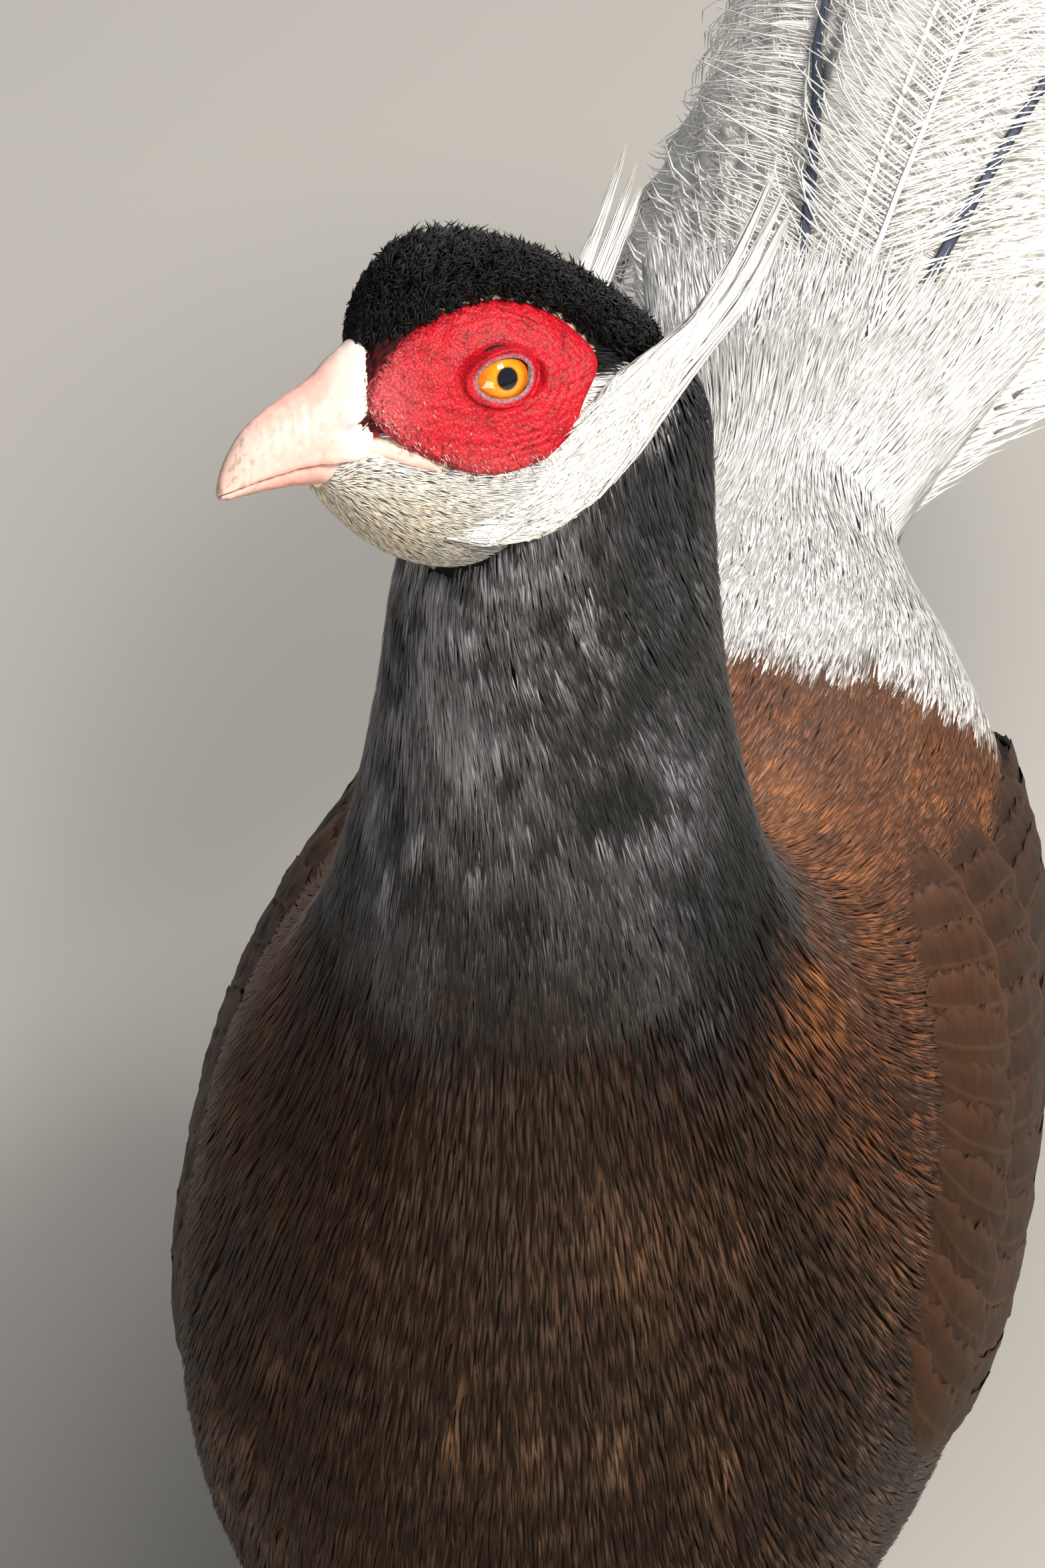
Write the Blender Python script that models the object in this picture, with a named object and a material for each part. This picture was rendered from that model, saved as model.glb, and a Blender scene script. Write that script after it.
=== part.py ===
# A life-size brown eared pheasant, standing with its neck up and its head turned to its right.
# Metres, +Z up. The body faces -Y and +X is the bird's left. The origin is on the floor,
# under the middle of the bounding box.

import math

import bmesh
import bpy
import numpy as np
from mathutils import Matrix

MM = 0.001
GAP = 0.3 * MM            # air between neighbouring pieces
BODY_SIDES = 28           # facets round the neck and torso
HEAD_SIDES = 24
HEAD_RINGS = 13
ROUNDNESS = 2.2           # superellipse exponent of the body's sections

# Body outline in metres, from the nape to the tail base. Each row is one section: back y,
# back z, belly y, belly z, half width, sideways offset, turn about the vertical in degrees
BODY = [
    (-0.0930, 0.4680, -0.1280, 0.4750, 0.0130, 0.0117, -54.0),
    (-0.0900, 0.4550, -0.1430, 0.4655, 0.0190, 0.0119, -54.0),
    (-0.0865, 0.4260, -0.1505, 0.4270, 0.0295, 0.0075, -36.0),
    (-0.0820, 0.4010, -0.1540, 0.3930, 0.0340, 0.0060, -16.0),
    (-0.0735, 0.3760, -0.1600, 0.3560, 0.0400, 0.0050, -4.0),
    (-0.0600, 0.3500, -0.1700, 0.3120, 0.0500, 0.0040, 0.0),
    (-0.0380, 0.3310, -0.1800, 0.2600, 0.0655, 0.0035, 0.0),
    (-0.0080, 0.3230, -0.1780, 0.2030, 0.0785, 0.0030, 0.0),
    (0.0300, 0.3200, -0.1430, 0.1550, 0.0860, 0.0030, 0.0),
    (0.0650, 0.3170, -0.0660, 0.1290, 0.0870, 0.0030, 0.0),
    (0.0980, 0.3130, 0.0260, 0.1300, 0.0835, 0.0020, 0.0),
    (0.1300, 0.3060, 0.0900, 0.1570, 0.0735, 0.0010, 0.0),
    (0.1600, 0.3000, 0.1380, 0.1930, 0.0580, 0.0, 0.0),
    (0.1860, 0.2960, 0.1760, 0.2250, 0.0410, 0.0, 0.0),
    (0.2060, 0.2950, 0.2090, 0.2510, 0.0260, 0.0, 0.0),
]
NECK_END = 5.5            # station where the neck ends
PART_STEP = 0.012         # stations left out at a parting, at least GAP of air
RING_STEP = 0.5           # stations from one ring of the loft to the next
RUMP_LINE = ((0.018, 0.330), (0.190, 0.196))  # y, z of the slanting parting of the white rump

# Folded wing's surface: the body's as far as station 10, then straight back and downwards
WING = BODY[:11] + [
    (0.1320, 0.3050, 0.0900, 0.1500, 0.0755, 0.0010, 0.0),
    (0.1660, 0.2980, 0.1400, 0.1600, 0.0620, 0.0, 0.0),
    (0.1980, 0.2880, 0.1860, 0.1660, 0.0500, 0.0, 0.0),
    (0.2300, 0.2750, 0.2280, 0.1700, 0.0400, 0.0, 0.0),
]
WING_START = 6.3
# Upper and lower edge of the folded wing in degrees from the back, at stations along it
WING_EDGES = [
    (6.3, 44, 98), (7.5, 46, 110), (9.0, 52, 116), (10.5, 64, 116), (12.0, 80, 113), (14.0, 96, 108),
]

# Height of the feathers above the carrying surface in millimetres, at stations along the wing
WING_BED = ((6.3, 7.2, 8.2, 9.4, 11.0, 13.3), (-0.8, 1.4, 2.8, 3.0, 2.2, 0.9))
WING_BLEND = ((9.8, 11.4), (1.0, 0.0))    # how far its edges sink into the body, at stations
WING_ROOT = 4.0           # millimetres that the wing reaches into the body before it is cut away
WING_FEATHERS = 7         # side by side in each tier
# Tiers from the shoulder back: station of the uppermost and of the lowest feather, how much
# earlier their webs end, height in millimetres. A tier's end is followed by the drop to the next
WING_TIERS = [
    (6.35, 6.50, 0.00, -1.0), (7.10, 7.10, 0.06, 0.0),
    (7.90, 7.75, 0.14, 0.9), (7.93, 7.78, 0.14, -0.7),
    (9.10, 8.95, 0.18, 0.9), (9.13, 8.98, 0.18, -0.7),
    (10.50, 10.25, 0.24, 0.9), (10.53, 10.28, 0.24, -0.6),
    (11.40, 11.20, 0.28, 0.0), (12.30, 12.10, 0.40, 0.7), (12.33, 12.13, 0.40, -0.7),
    (12.75, 13.10, 0.40, -0.4), (13.10, 14.00, 0.50, -0.3),
]

# Head, in its own frame in millimetres from the point midway between the eyes:
# x towards the bill, y to the bird's left, z up
HEAD_PLACE = (-0.010, -0.130, 0.470)
HEAD_TURN = math.radians(54)      # to the bird's right of straight ahead
HEAD_NOD = math.radians(11)       # bill raised
HEAD_TILT = math.radians(17)      # left side raised
# Rows of x, top, underside, half width
HEAD = [
    (33.0, -18.5, -22.5, 3.0),
    (29.0, -12.0, -26.0, 7.0),
    (24.0, 4.0, -30.5, 10.0),
    (16.0, 14.0, -35.5, 13.5),
    (8.0, 18.5, -38.3, 16.5),
    (0.0, 20.0, -39.0, 18.5),
    (-10.0, 19.0, -37.0, 20.3),
    (-20.0, 15.0, -31.0, 20.5),
    (-30.0, 8.5, -20.0, 17.5),
    (-38.0, 1.0, -9.0, 9.0),
]
# The velvety cap: x, top, lower edge, half width
CROWN = [
    (24.5, 9.0, 3.0, 4.5),
    (22.0, 16.5, 1.5, 8.5),
    (18.0, 22.3, 2.0, 11.0),
    (12.0, 26.0, 6.0, 13.5),
    (4.0, 27.3, 10.0, 15.5),
    (-6.0, 26.5, 11.0, 16.5),
    (-16.0, 23.4, 7.0, 18.0),
    (-26.0, 18.8, 0.5, 18.0),
    (-36.0, 12.8, -2.5, 15.0),
    (-42.0, 7.5, -1.5, 8.0),
]
# The bill: x, ridge, mouth line, lower edge, half width
BILL = [
    (20.0, 4.0, -16.2, -22.6, 8.2),
    (24.0, 5.5, -16.6, -23.0, 8.6),
    (28.0, 3.2, -17.0, -22.9, 8.2),
    (33.0, -1.7, -18.0, -22.7, 7.3),
    (38.4, -5.3, -19.3, -23.2, 6.2),
    (44.0, -9.2, -21.2, -24.2, 4.9),
    (47.5, -12.6, -22.6, -25.0, 3.8),
    (50.0, -16.6, -23.8, -25.6, 2.7),
    (51.5, -20.6, -24.5, -25.6, 1.6),
    (52.0, -23.4, -24.9, -25.3, 0.6),
]
# Outline of the bare red skin round the eye: x, z
FACE_OUTLINE = [
    (25.0, -5.9), (21.5, 2.0), (14.9, 9.0), (7.6, 13.4), (-1.0, 15.2), (-9.5, 13.6),
    (-16.0, 9.8), (-20.6, 3.6), (-17.2, -4.0), (-13.5, -12.1), (-6.0, -17.4),
    (4.0, -19.2), (13.0, -16.2), (20.5, -12.4),
]
# White feathers under the face that run out in the ear tuft: x, y, z, half width, half thickness
TUFT = [
    (7.0, 16.5, -30.0, 4.5, 2.0), (-8.0, 21.0, -25.0, 9.0, 3.0), (-20.0, 22.8, -13.5, 10.5, 3.2),
    (-30.0, 23.5, -1.0, 9.5, 3.0), (-38.0, 24.3, 12.0, 6.8, 2.6), (-46.0, 25.6, 27.0, 3.8, 1.6),
    (-54.0, 28.0, 45.0, 0.5, 0.3),
]
TUFT_BASE_END = 4.4       # row of the table at which the band has run out into locks
# Locks of the tuft: how far off the middle line, tip, half width
TUFT_LOCKS = [
    (-0.9, (-45.5, 26.0, 25.0), 1.9), (-0.5, (-50.0, 27.0, 33.0), 2.0), (0.0, (-53.6, 28.0, 43.5), 2.2),
    (0.45, (-56.0, 28.5, 39.5), 2.0), (0.9, (-57.5, 28.0, 34.5), 1.8),
]
FACE_PROUD = 1.0          # millimetres that the bare skin stands above the feathers
FACE_DEPTH = 2.2          # millimetres that it reaches into the head
EYE_RADIUS = 8.5
EYE_CENTRE = (0.0, 11.6, 0.0)
LID_OPENING = (5.9, 4.9)  # half width and half height to the middle of the lid's ring
LID_SLANT = math.radians(12)
EYE_BACK = 14.4           # how far out the eye's flat back lies
EYE_POCKET = 7.1          # radius of the bare skin's inner edge behind the lids
FACE_SIDES = 24

TAIL_ROOT = (0.0, 0.212, 0.273)
TAIL_PAIRS = 11
PLUME_PAIRS = 2           # the middle pairs, whose webs are loose
TAIL_LENGTH = 0.490       # run of the longest feathers, measured along the floor
TAIL_TURN = (0.9, 2.1)    # degrees outwards of the middle pair, and more for each further pair
TAIL_STEP = 0.066         # from one section to the next, at the same distances in every feather
TAIL_YAW = 7.5            # degrees that the whole tail is held to the bird's left
TAIL_WIDTHS = ((0.0, 0.12, 0.28, 0.46, 0.80, 0.94, 1.0), (0.20, 0.50, 0.88, 1.0, 0.88, 0.60, 0.10))
PLUME_HALF = 0.0085       # half width of a plume's closed web
WEB_HALF = 0.0150         # half width of the other tail feathers
SHINGLE = 1.9 * MM        # how far each feather lies below the one nearer the middle
COVERTS = 11
COVERT_LENGTH = 0.070
BARB_LOCKS = 9            # loose locks on one side of a plume
FOOT_LEVEL = 0.0


def clear_scene():
    for item in list(bpy.data.objects):
        bpy.data.objects.remove(item)


def finish(name, colour, roughness, metallic=0.0):
    made = bpy.data.materials.new(name)
    made.use_nodes = True
    shader = made.node_tree.nodes["Principled BSDF"]
    shader.inputs["Base Color"].default_value = (*colour, 1.0)
    shader.inputs["Roughness"].default_value = roughness
    shader.inputs["Metallic"].default_value = metallic
    return made


def closed_mesh(name, points, faces):
    mesh = bpy.data.meshes.new(name)
    mesh.from_pydata([tuple(map(float, p)) for p in points], [], faces)
    work = bmesh.new()
    work.from_mesh(mesh)
    bmesh.ops.recalc_face_normals(work, faces=work.faces)
    if work.calc_volume(signed=True) < 0:
        bmesh.ops.reverse_faces(work, faces=work.faces)
    work.to_mesh(mesh)
    work.free()
    return mesh


def place_solid(name, solid, look=None, group=None):
    points, faces = solid
    item = bpy.data.objects.new(name, closed_mesh(name, points, faces))
    if look:
        item.data.materials.append(look)
    (group or bpy.context.scene.collection).objects.link(item)
    return item


def evaluated_mesh(item):
    bpy.context.view_layer.update()
    graph = bpy.context.evaluated_depsgraph_get()
    return bpy.data.meshes.new_from_object(item.evaluated_get(graph))


def keep_largest(mesh):
    # Keeps the closed surface that holds the most, which drops loose scraps and sealed hollows
    work = bmesh.new()
    work.from_mesh(mesh)
    work.faces.ensure_lookup_table()
    unseen, islands = set(range(len(work.faces))), []
    while unseen:
        stack, island = [unseen.pop()], []
        while stack:
            face = work.faces[stack.pop()]
            island.append(face)
            for edge in face.edges:
                for other in edge.link_faces:
                    if other.index in unseen:
                        unseen.discard(other.index)
                        stack.append(other.index)
        islands.append(island)
    if len(islands) > 1:
        def box_size(island):
            spots = np.array([v.co for face in island for v in face.verts])
            return float(np.prod(np.ptp(spots, axis=0)))
        islands.sort(key=box_size)
        loose = [face for island in islands[:-1] for face in island]
        bmesh.ops.delete(work, geom=loose, context="FACES")
    work.to_mesh(mesh)
    work.free()


def combine(item, operation, solids, solver="MANIFOLD"):
    # One Boolean of an object with a collection of closed solids, applied
    tools = bpy.data.collections.new(item.name + "_pieces")
    bpy.context.scene.collection.children.link(tools)
    for number, solid in enumerate(solids):
        place_solid(f"{item.name}_piece_{number}", solid, group=tools)
    step = item.modifiers.new(operation.lower(), "BOOLEAN")
    step.operation = operation
    step.operand_type = "COLLECTION"
    step.collection = tools
    step.solver = solver
    made = evaluated_mesh(item)
    item.modifiers.clear()
    item.data = made
    for tool in list(tools.objects):
        bpy.data.objects.remove(tool)
    bpy.data.collections.remove(tools)
    keep_largest(item.data)
    return item


def transformed(solid, matrix):
    points, faces = solid
    spots = np.asarray(points) @ np.array(matrix.to_3x3()).T + np.array(matrix.translation)
    return spots, faces


def thin_loft(rings):
    # Closed solid through flat sections: its lower face is triangulated as its upper face is
    size, count = len(rings[0]), len(rings)
    points = [p for ring in rings for p in ring]
    faces = []
    for r in range(count - 1):
        for k in range(size):
            a, b = r * size + k, r * size + (k + 1) % size
            if k < size // 2:
                faces += [(a, b, b + size), (a, b + size, a + size)]
            else:
                faces += [(a, b, a + size), (b, b + size, a + size)]
    for first in (0, (count - 1) * size):
        for k in range(size // 2 - 1):
            faces.append((first + k, first + k + 1, first + size - 2 - k, first + size - 1 - k))
    return points, faces


def loft(rings):
    # Closed solid through rings of equal size, each end closed by a fan
    size, count = len(rings[0]), len(rings)
    points = [p for ring in rings for p in ring]
    faces = []
    for r in range(count - 1):
        for k in range(size):
            a, b = r * size + k, r * size + (k + 1) % size
            faces += [(a, b, b + size), (a, b + size, a + size)]
    for first in (0, (count - 1) * size):
        points.append(np.mean(points[first:first + size], axis=0))
        middle = len(points) - 1
        faces += [(middle, first + k, first + (k + 1) % size) for k in range(size)]
    return points, faces


def row_at(rows, place):
    # Catmull-Rom reading of a table of sections at a fractional row
    rows = np.asarray(rows, float)
    place = min(max(place, 0.0), len(rows) - 1.0)
    i = min(int(place), len(rows) - 2)
    f = place - i
    a, b, c, d = (rows[min(max(i + k, 0), len(rows) - 1)] for k in (-1, 0, 1, 2))
    return 0.5 * (2 * b + (c - a) * f + (2 * a - 5 * b + 4 * c - d) * f**2
                  + (3 * b - a - 3 * c + d) * f**3)


def rounded(value, exponent=ROUNDNESS):
    return math.copysign(abs(value) ** (2 / exponent), value)


def body_point(place, angle, grow=0.0, rows=BODY):
    # A point on the body: place is the station, angle 0 at the back and 90 degrees on the left
    back_y, back_z, belly_y, belly_z, half_width, offset, turn = row_at(rows, place)
    back, belly = np.array((offset, back_y, back_z)), np.array((offset, belly_y, belly_z))
    half = np.linalg.norm(back - belly) / 2
    _, run, rise = (back - belly) / (2 * half)
    turn = math.radians(turn)
    up = np.array((-run * math.sin(turn), run * math.cos(turn), rise))
    across = np.array((math.cos(turn), math.sin(turn), 0.0))
    return ((back + belly) / 2 + up * (half + grow) * rounded(math.cos(angle))
            + across * (half_width + grow) * rounded(math.sin(angle)))


def body_solid(start, end, grow=0.0):
    # The rings stand at fixed stations, so that a grown body has the same facets as the body
    stops = {k * RING_STEP for k in range(2 * len(BODY))}
    stops.add(NECK_END - PART_STEP)
    places = [start] + sorted(t for t in stops if start < t < end) + [end]
    turns = np.linspace(0, 2 * math.pi, BODY_SIDES, endpoint=False)
    rings = [np.array([body_point(t, a, grow) for a in turns]) for t in places]
    if grow:
        out = rings[-1].mean(axis=0) - rings[-2].mean(axis=0)
        rings[-1] = rings[-1] + out / np.linalg.norm(out) * grow
    return loft(rings)


def oval_ring(x, top, low, half_width, grow, sides=HEAD_SIDES):
    middle, half = (top + low) / 2, (top - low) / 2
    return [
        (x, (half_width + grow) * rounded(math.sin(a)), middle + (half + grow) * rounded(math.cos(a)))
        for a in np.linspace(0, 2 * math.pi, sides, endpoint=False)
    ]


def head_loft(rows, grow=0.0):
    # In head millimetres; a grown one also reaches further at both ends
    places = np.linspace(0, len(rows) - 1, HEAD_RINGS)
    rings = [oval_ring(*row_at(rows, p), grow) for p in places]
    if grow:
        rings[0] = [(x + grow, y, z) for x, y, z in rings[0]]
        rings[-1] = [(x - grow, y, z) for x, y, z in rings[-1]]
    return loft(rings)


def head_side(x, z):
    # Half width of the head at a place seen from the side
    table = np.array(HEAD)
    xs = -table[:, 0]
    top, low, half_width = (np.interp(-x, xs, table[:, k]) for k in (1, 2, 3))
    share = min(abs(z - (top + low) / 2) / ((top - low) / 2), 0.98)
    return half_width * (1 - share**ROUNDNESS) ** (1 / ROUNDNESS)


def head_matrix():
    turn = Matrix.Rotation(-math.pi / 2 - HEAD_TURN, 4, "Z")
    nod = Matrix.Rotation(-HEAD_NOD, 4, "Y")
    tilt = Matrix.Rotation(HEAD_TILT, 4, "X")
    return Matrix.Translation(HEAD_PLACE) @ turn @ nod @ tilt @ Matrix.Scale(MM, 4)


def in_head(solid):
    return transformed(solid, head_matrix())


def closed_curve(points, count):
    # Catmull-Rom round a closed outline
    spots, made = np.array(points, float), []
    total = len(spots)
    for place in np.linspace(0, total, count, endpoint=False):
        i, f = int(place), place % 1
        a, b, c, d = (spots[(i + k) % total] for k in (-1, 0, 1, 2))
        made.append(0.5 * (2 * b + (c - a) * f + (2 * a - 5 * b + 4 * c - d) * f**2
                           + (3 * b - a - 3 * c + d) * f**3))
    return made


def lid_place(turn, scale):
    # A point on an oval round the eye, larger or smaller than the lids' opening, seen from the side
    wide, high = LID_OPENING[0] * scale * math.cos(turn), LID_OPENING[1] * scale * math.sin(turn)
    return (wide * math.cos(LID_SLANT) + high * math.sin(LID_SLANT),
            -wide * math.sin(LID_SLANT) + high * math.cos(LID_SLANT))


def on_eye(x, z, spare):
    return EYE_CENTRE[1] + math.sqrt((EYE_RADIUS + spare) ** 2 - x * x - z * z)


def face_solid(side):
    # The bare skin: a shallow ring round the eye that follows the head's side, with the lids as
    # its raised inner rim, in head millimetres
    outline = closed_curve(FACE_OUTLINE, FACE_SIDES)
    turns = [math.atan2(z, x) for x, z in outline]
    wide, high = LID_OPENING
    ovals = [math.atan2(math.sin(a) / high, math.cos(a) / wide) + LID_SLANT for a in turns]
    rings = []
    for share, proud in ((1.0, 0.25), (0.955, 1.0), (0.66, 1.0)):
        rings.append([(x * share, head_side(x * share, z * share) + proud * FACE_PROUD, z * share)
                      for x, z in outline])
    for scale, lift in ((1.42, None), (1.16, 1.5), (0.98, 0.75)):
        ring = []
        for turn in ovals:
            x, z = lid_place(turn, scale)
            y = head_side(x, z) + FACE_PROUD if lift is None else on_eye(x, z, lift)
            ring.append((x, y, z))
        rings.append(ring)
    ring = []
    for turn in ovals:
        x, z = lid_place(turn, 1.0)
        reach = EYE_POCKET / math.hypot(x, z)
        ring.append((x * reach, on_eye(x * reach, z * reach, 0.4), z * reach))
    rings.append(ring)
    rings.append([(x, head_side(x, z) - FACE_DEPTH, z) for x, z in outline])
    points = [(x, side * y, z) for ring in rings for x, y, z in ring]
    size, count, faces = FACE_SIDES, len(rings), []
    for r in range(count):
        for k in range(size):
            a, b = r * size + k, r * size + (k + 1) % size
            c, d = (b + size) % len(points), (a + size) % len(points)
            faces += [(a, b, c), (a, c, d)]
    return points, faces


def face_pocket(side):
    # What the bare skin and the eye take out of the head
    reach, outline = 1 + GAP / MM / 16, closed_curve(FACE_OUTLINE, FACE_SIDES)
    inner = [(x * reach, side * (head_side(x, z) - FACE_DEPTH - 1.2), z * reach) for x, z in outline]
    return loft([inner, [(x, side * 40.0, z) for x, _, z in inner]])


def face_window(side):
    # The bare skin's outline taken straight outwards, which no feather crosses
    outline = closed_curve(FACE_OUTLINE, FACE_SIDES)
    reach = 1 + GAP / MM / 16
    return loft([[(x * reach, side * y, z * reach) for x, z in outline] for y in (6.0, 40.0)])


def eye_solid(side):
    # The front of the eyeball, with a flat back
    flat = EYE_BACK - EYE_CENTRE[1]
    low, rings = math.asin(flat / EYE_RADIUS), []
    for lift in np.linspace(low, math.radians(82), 6):
        reach, y = EYE_RADIUS * math.cos(lift), EYE_CENTRE[1] + EYE_RADIUS * math.sin(lift)
        rings.append([(reach * math.cos(a), side * y, reach * math.sin(a))
                      for a in np.linspace(0, 2 * math.pi, 16, endpoint=False)])
    return loft(rings)


def bill_solid(upper, grow=0.0):
    # Upper half: an arch over a flat cutting edge. Lower half: the same, upside down and shorter
    rings = []
    rows = BILL if upper else BILL[:-1]
    for x, ridge, mouth, low, half_width in rows:
        wide = half_width if upper else half_width * 0.82
        edge = mouth + (GAP / MM / 2 if upper else -GAP / MM / 2)
        crest = ridge if upper else low
        wide += grow
        edge += -grow if upper else grow
        crest += grow if upper else -grow
        ring = [
            (x, wide * math.cos(a), edge + (crest - edge) * math.sin(a) ** 0.9)
            for a in np.linspace(0, math.pi, 11)
        ]
        ring += [(x, wide * share, edge) for share in (-0.5, 0.0, 0.5)]
        rings.append(ring)
    if grow:
        rings[0] = [(x - 0.5, y, z) for x, y, z in rings[0]]
        rings[-1] = [(x + grow, y, z) for x, y, z in rings[-1]]
    return loft(rings)


def gape_solid(side, grow=0.0):
    # Fleshy strip of the bill that runs back along the mouth to its corner
    spine = [(30.0, 5.2, -13.4, 2.8), (25.0, 6.6, -13.8, 2.7), (20.0, 9.3, -15.2, 2.2),
             (16.0, 11.8, -16.6, 1.6), (12.5, 14.2, -17.7, 0.8)]
    rings = []
    for x, y, z, half in spine:
        rings.append([
            (x, side * (y + (1.8 + grow) * math.cos(a)), z + (half + grow) * math.sin(a))
            for a in np.linspace(0, 2 * math.pi, 8, endpoint=False)
        ])
    if grow:
        rings[0] = [(x + grow, y, z) for x, y, z in rings[0]]
        rings[-1] = [(x - grow, y, z) for x, y, z in rings[-1]]
    return loft(rings)


def nostril_solid(side):
    rings = []
    for share in np.linspace(-1, 1, 7):
        thick = 1.05 * math.sqrt(max(1.02 - share**2, 0.02))
        x, z = 27.5 + 3.0 * share, -9.6 - 1.2 * share
        y = 7.4 - 0.5 * share
        rings.append([
            (x, side * (y + 1.6 * thick * math.cos(a)), z + thick * math.sin(a))
            for a in np.linspace(0, 2 * math.pi, 8, endpoint=False)
        ])
    return loft(rings)


def rump_side(behind):
    # A block that holds everything behind the slanting parting of the rump, or before it
    (top_y, top_z), (low_y, low_z) = RUMP_LINE
    run, rise = low_y - top_y, low_z - top_z
    length = math.hypot(run, rise)
    out = np.array((-rise / length, run / length)) * (1 if behind else -1)
    along = np.array((run / length, rise / length))
    start = np.array((top_y, top_z)) - out * GAP / 2
    corners = [start - along * 0.5, start + along * 0.7]
    corners += [corners[1] + out * 0.9, corners[0] + out * 0.9]
    return loft([[(x, y, z) for y, z in corners] for x in (-0.3, 0.3)])


def wing_edges(t):
    # Upper and lower edge of the wing at a station, in degrees from the back
    stations, tops, lows = zip(*WING_EDGES)
    return np.interp(t, stations, tops), np.interp(t, stations, lows)


def wing_height(t, share, height):
    # Millimetres over the carrying surface of a point between the edges, at shares -1 and 1. Near
    # them it sinks into the body as far as the wing lies on it
    level = np.interp(t, *WING_BED) + height
    return level - max(level + 1.0, 0.0) * share**4 * np.interp(t, *WING_BLEND)


def wing_solid(side):
    # One sheet in stepped tiers. Across a tier each feather starts low, rises to its shaft and
    # ends proud of the next one, and along it the shafts reach further than the webs' edges
    rings = []
    for first, last, set_back, height in WING_TIERS:
        upper, lower = [], []
        for k in range(WING_FEATHERS):
            for place, proud, web in ((0.05, 0.0, 1.0), (0.5, 0.8, 0.0), (1.0, 1.0, 1.0)):
                share = (k + place) / WING_FEATHERS
                t = first + (last - first) * share - set_back * web
                top, low = wing_edges(t)
                angle = side * math.radians(top + (low - top) * share)
                level = wing_height(t, 2 * share - 1, height + proud)
                upper.append(body_point(t, angle, level * MM, WING))
                held = np.interp(t, *WING_BLEND)
                under = -WING_ROOT * held + (level - 1.1) * (1 - held)
                lower.append(body_point(t, angle, under * MM, WING))
        rings.append(upper + lower[::-1])
    return thin_loft(rings)


def wing_room(side):
    # The wing with plenty of air round it
    rings = []
    for t in np.linspace(WING_START, 13.3, 8):
        top, low = wing_edges(t)
        turns = np.radians(np.linspace(top - 8.0, low + 8.0, 8))
        ring = [body_point(t, side * angle, 5.5 * MM, WING) for angle in turns]
        ring += [body_point(t, side * angle, -WING_ROOT * MM, WING) for angle in turns[::-1]]
        rings.append(ring)
    return thin_loft(rings)


def tail_run(pair):
    return TAIL_LENGTH - 0.0165 * pair - 0.0007 * pair**2


def tail_spine(pair, share):
    # Centre line of one tail feather on the left: it rises from the root and then droops
    turn = math.radians(TAIL_TURN[0] + TAIL_TURN[1] * pair)
    run = tail_run(pair) * share
    arch = 0.130 - 0.0072 * pair
    droop = 0.110 - 0.0030 * pair
    return np.array((
        0.0015 + 0.0014 * pair + run * math.sin(turn),
        TAIL_ROOT[1] + run * math.cos(turn),
        TAIL_ROOT[2] - 0.0010 * pair + arch * math.sin(2.2 * share) - droop * share**2,
    ))


def tail_frame(pair, share):
    # Directions along the feather, across it towards the outer side, and up from it. Across
    # follows the slope of the whole tail, less the tilt that lays each feather over the next
    ahead = tail_spine(pair, min(share + 0.02, 1.0)) - tail_spine(pair, max(share - 0.02, 0.0))
    ahead /= np.linalg.norm(ahead)
    nearer, further = tail_spine(max(pair - 0.6, 0.0), share), tail_spine(pair + 1, share)
    across = further - nearer
    across -= ahead * np.dot(across, ahead)
    spacing = np.linalg.norm(across) / (pair + 1 - max(pair - 0.6, 0.0))
    across /= np.linalg.norm(across)
    over = np.cross(across, ahead)
    tilt = math.atan2(SHINGLE, spacing)
    return (ahead, across * math.cos(tilt) + over * math.sin(tilt),
            over * math.cos(tilt) - across * math.sin(tilt))


def mirrored(ring, side):
    return [(side * x, y, z) for x, y, z in ring]


def middle_step(side, pair):
    # The two middle feathers lie one on the other at the root
    return np.array((0.0, 0.0, 0.9 * MM * side * (pair == 0)))


def tail_vane(side, pair):
    # Six-sided section: a raised shaft between two webs that hang a little at their edges
    plume = pair < PLUME_PAIRS
    rings, run = [], tail_run(pair)
    near_tip = run - 0.6 * TAIL_STEP
    stops = list(np.arange(0.0, near_tip, TAIL_STEP)) + [near_tip, run]
    for share in np.array(stops) / run:
        _, across, over = tail_frame(pair, share)
        half = (PLUME_HALF if plume else WEB_HALF) * np.interp(share, *TAIL_WIDTHS)
        thick = 0.5 if share < 1 else 0.25
        section = [(-1, 0.0), (0, 0.55), (1, 0.0), (1, -0.5), (0, -0.45), (-1, -0.5)]
        here = tail_spine(pair, share) + middle_step(side, pair)
        rings.append(mirrored([here + across * half * a + over * h * thick * 2 * MM
                               for a, h in section], side))
    return thin_loft(rings)


def barb_lock(side, pair, share, length):
    # A tapered lock of the loose web: it leaves the shaft, bends outwards and runs out over the
    # feathers beside it
    ahead, across, over = tail_frame(pair, share)
    inset = PLUME_HALF * 0.60 * np.interp(share, *TAIL_WIDTHS)
    root = tail_spine(pair, share) + middle_step(side, pair) + across * inset - over * 0.1 * MM
    rings = []
    for step, half, thick in ((0.0, 2.4, 0.30), (0.22, 2.6, 0.50), (0.6, 2.0, 0.55), (1.0, 0.4, 0.20)):
        out = length * step
        spot = root + across * out * 0.80 + ahead * out * (0.62 - 0.15 * step)
        spot = spot + over * (1.6 * MM * math.sin(min(step * 3, 1.57)) - out * 0.05)
        rings.append(mirrored([spot - ahead * half * MM, spot + over * thick * MM,
                               spot + ahead * half * MM, spot - over * thick * MM], side))
    return thin_loft(rings)


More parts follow.
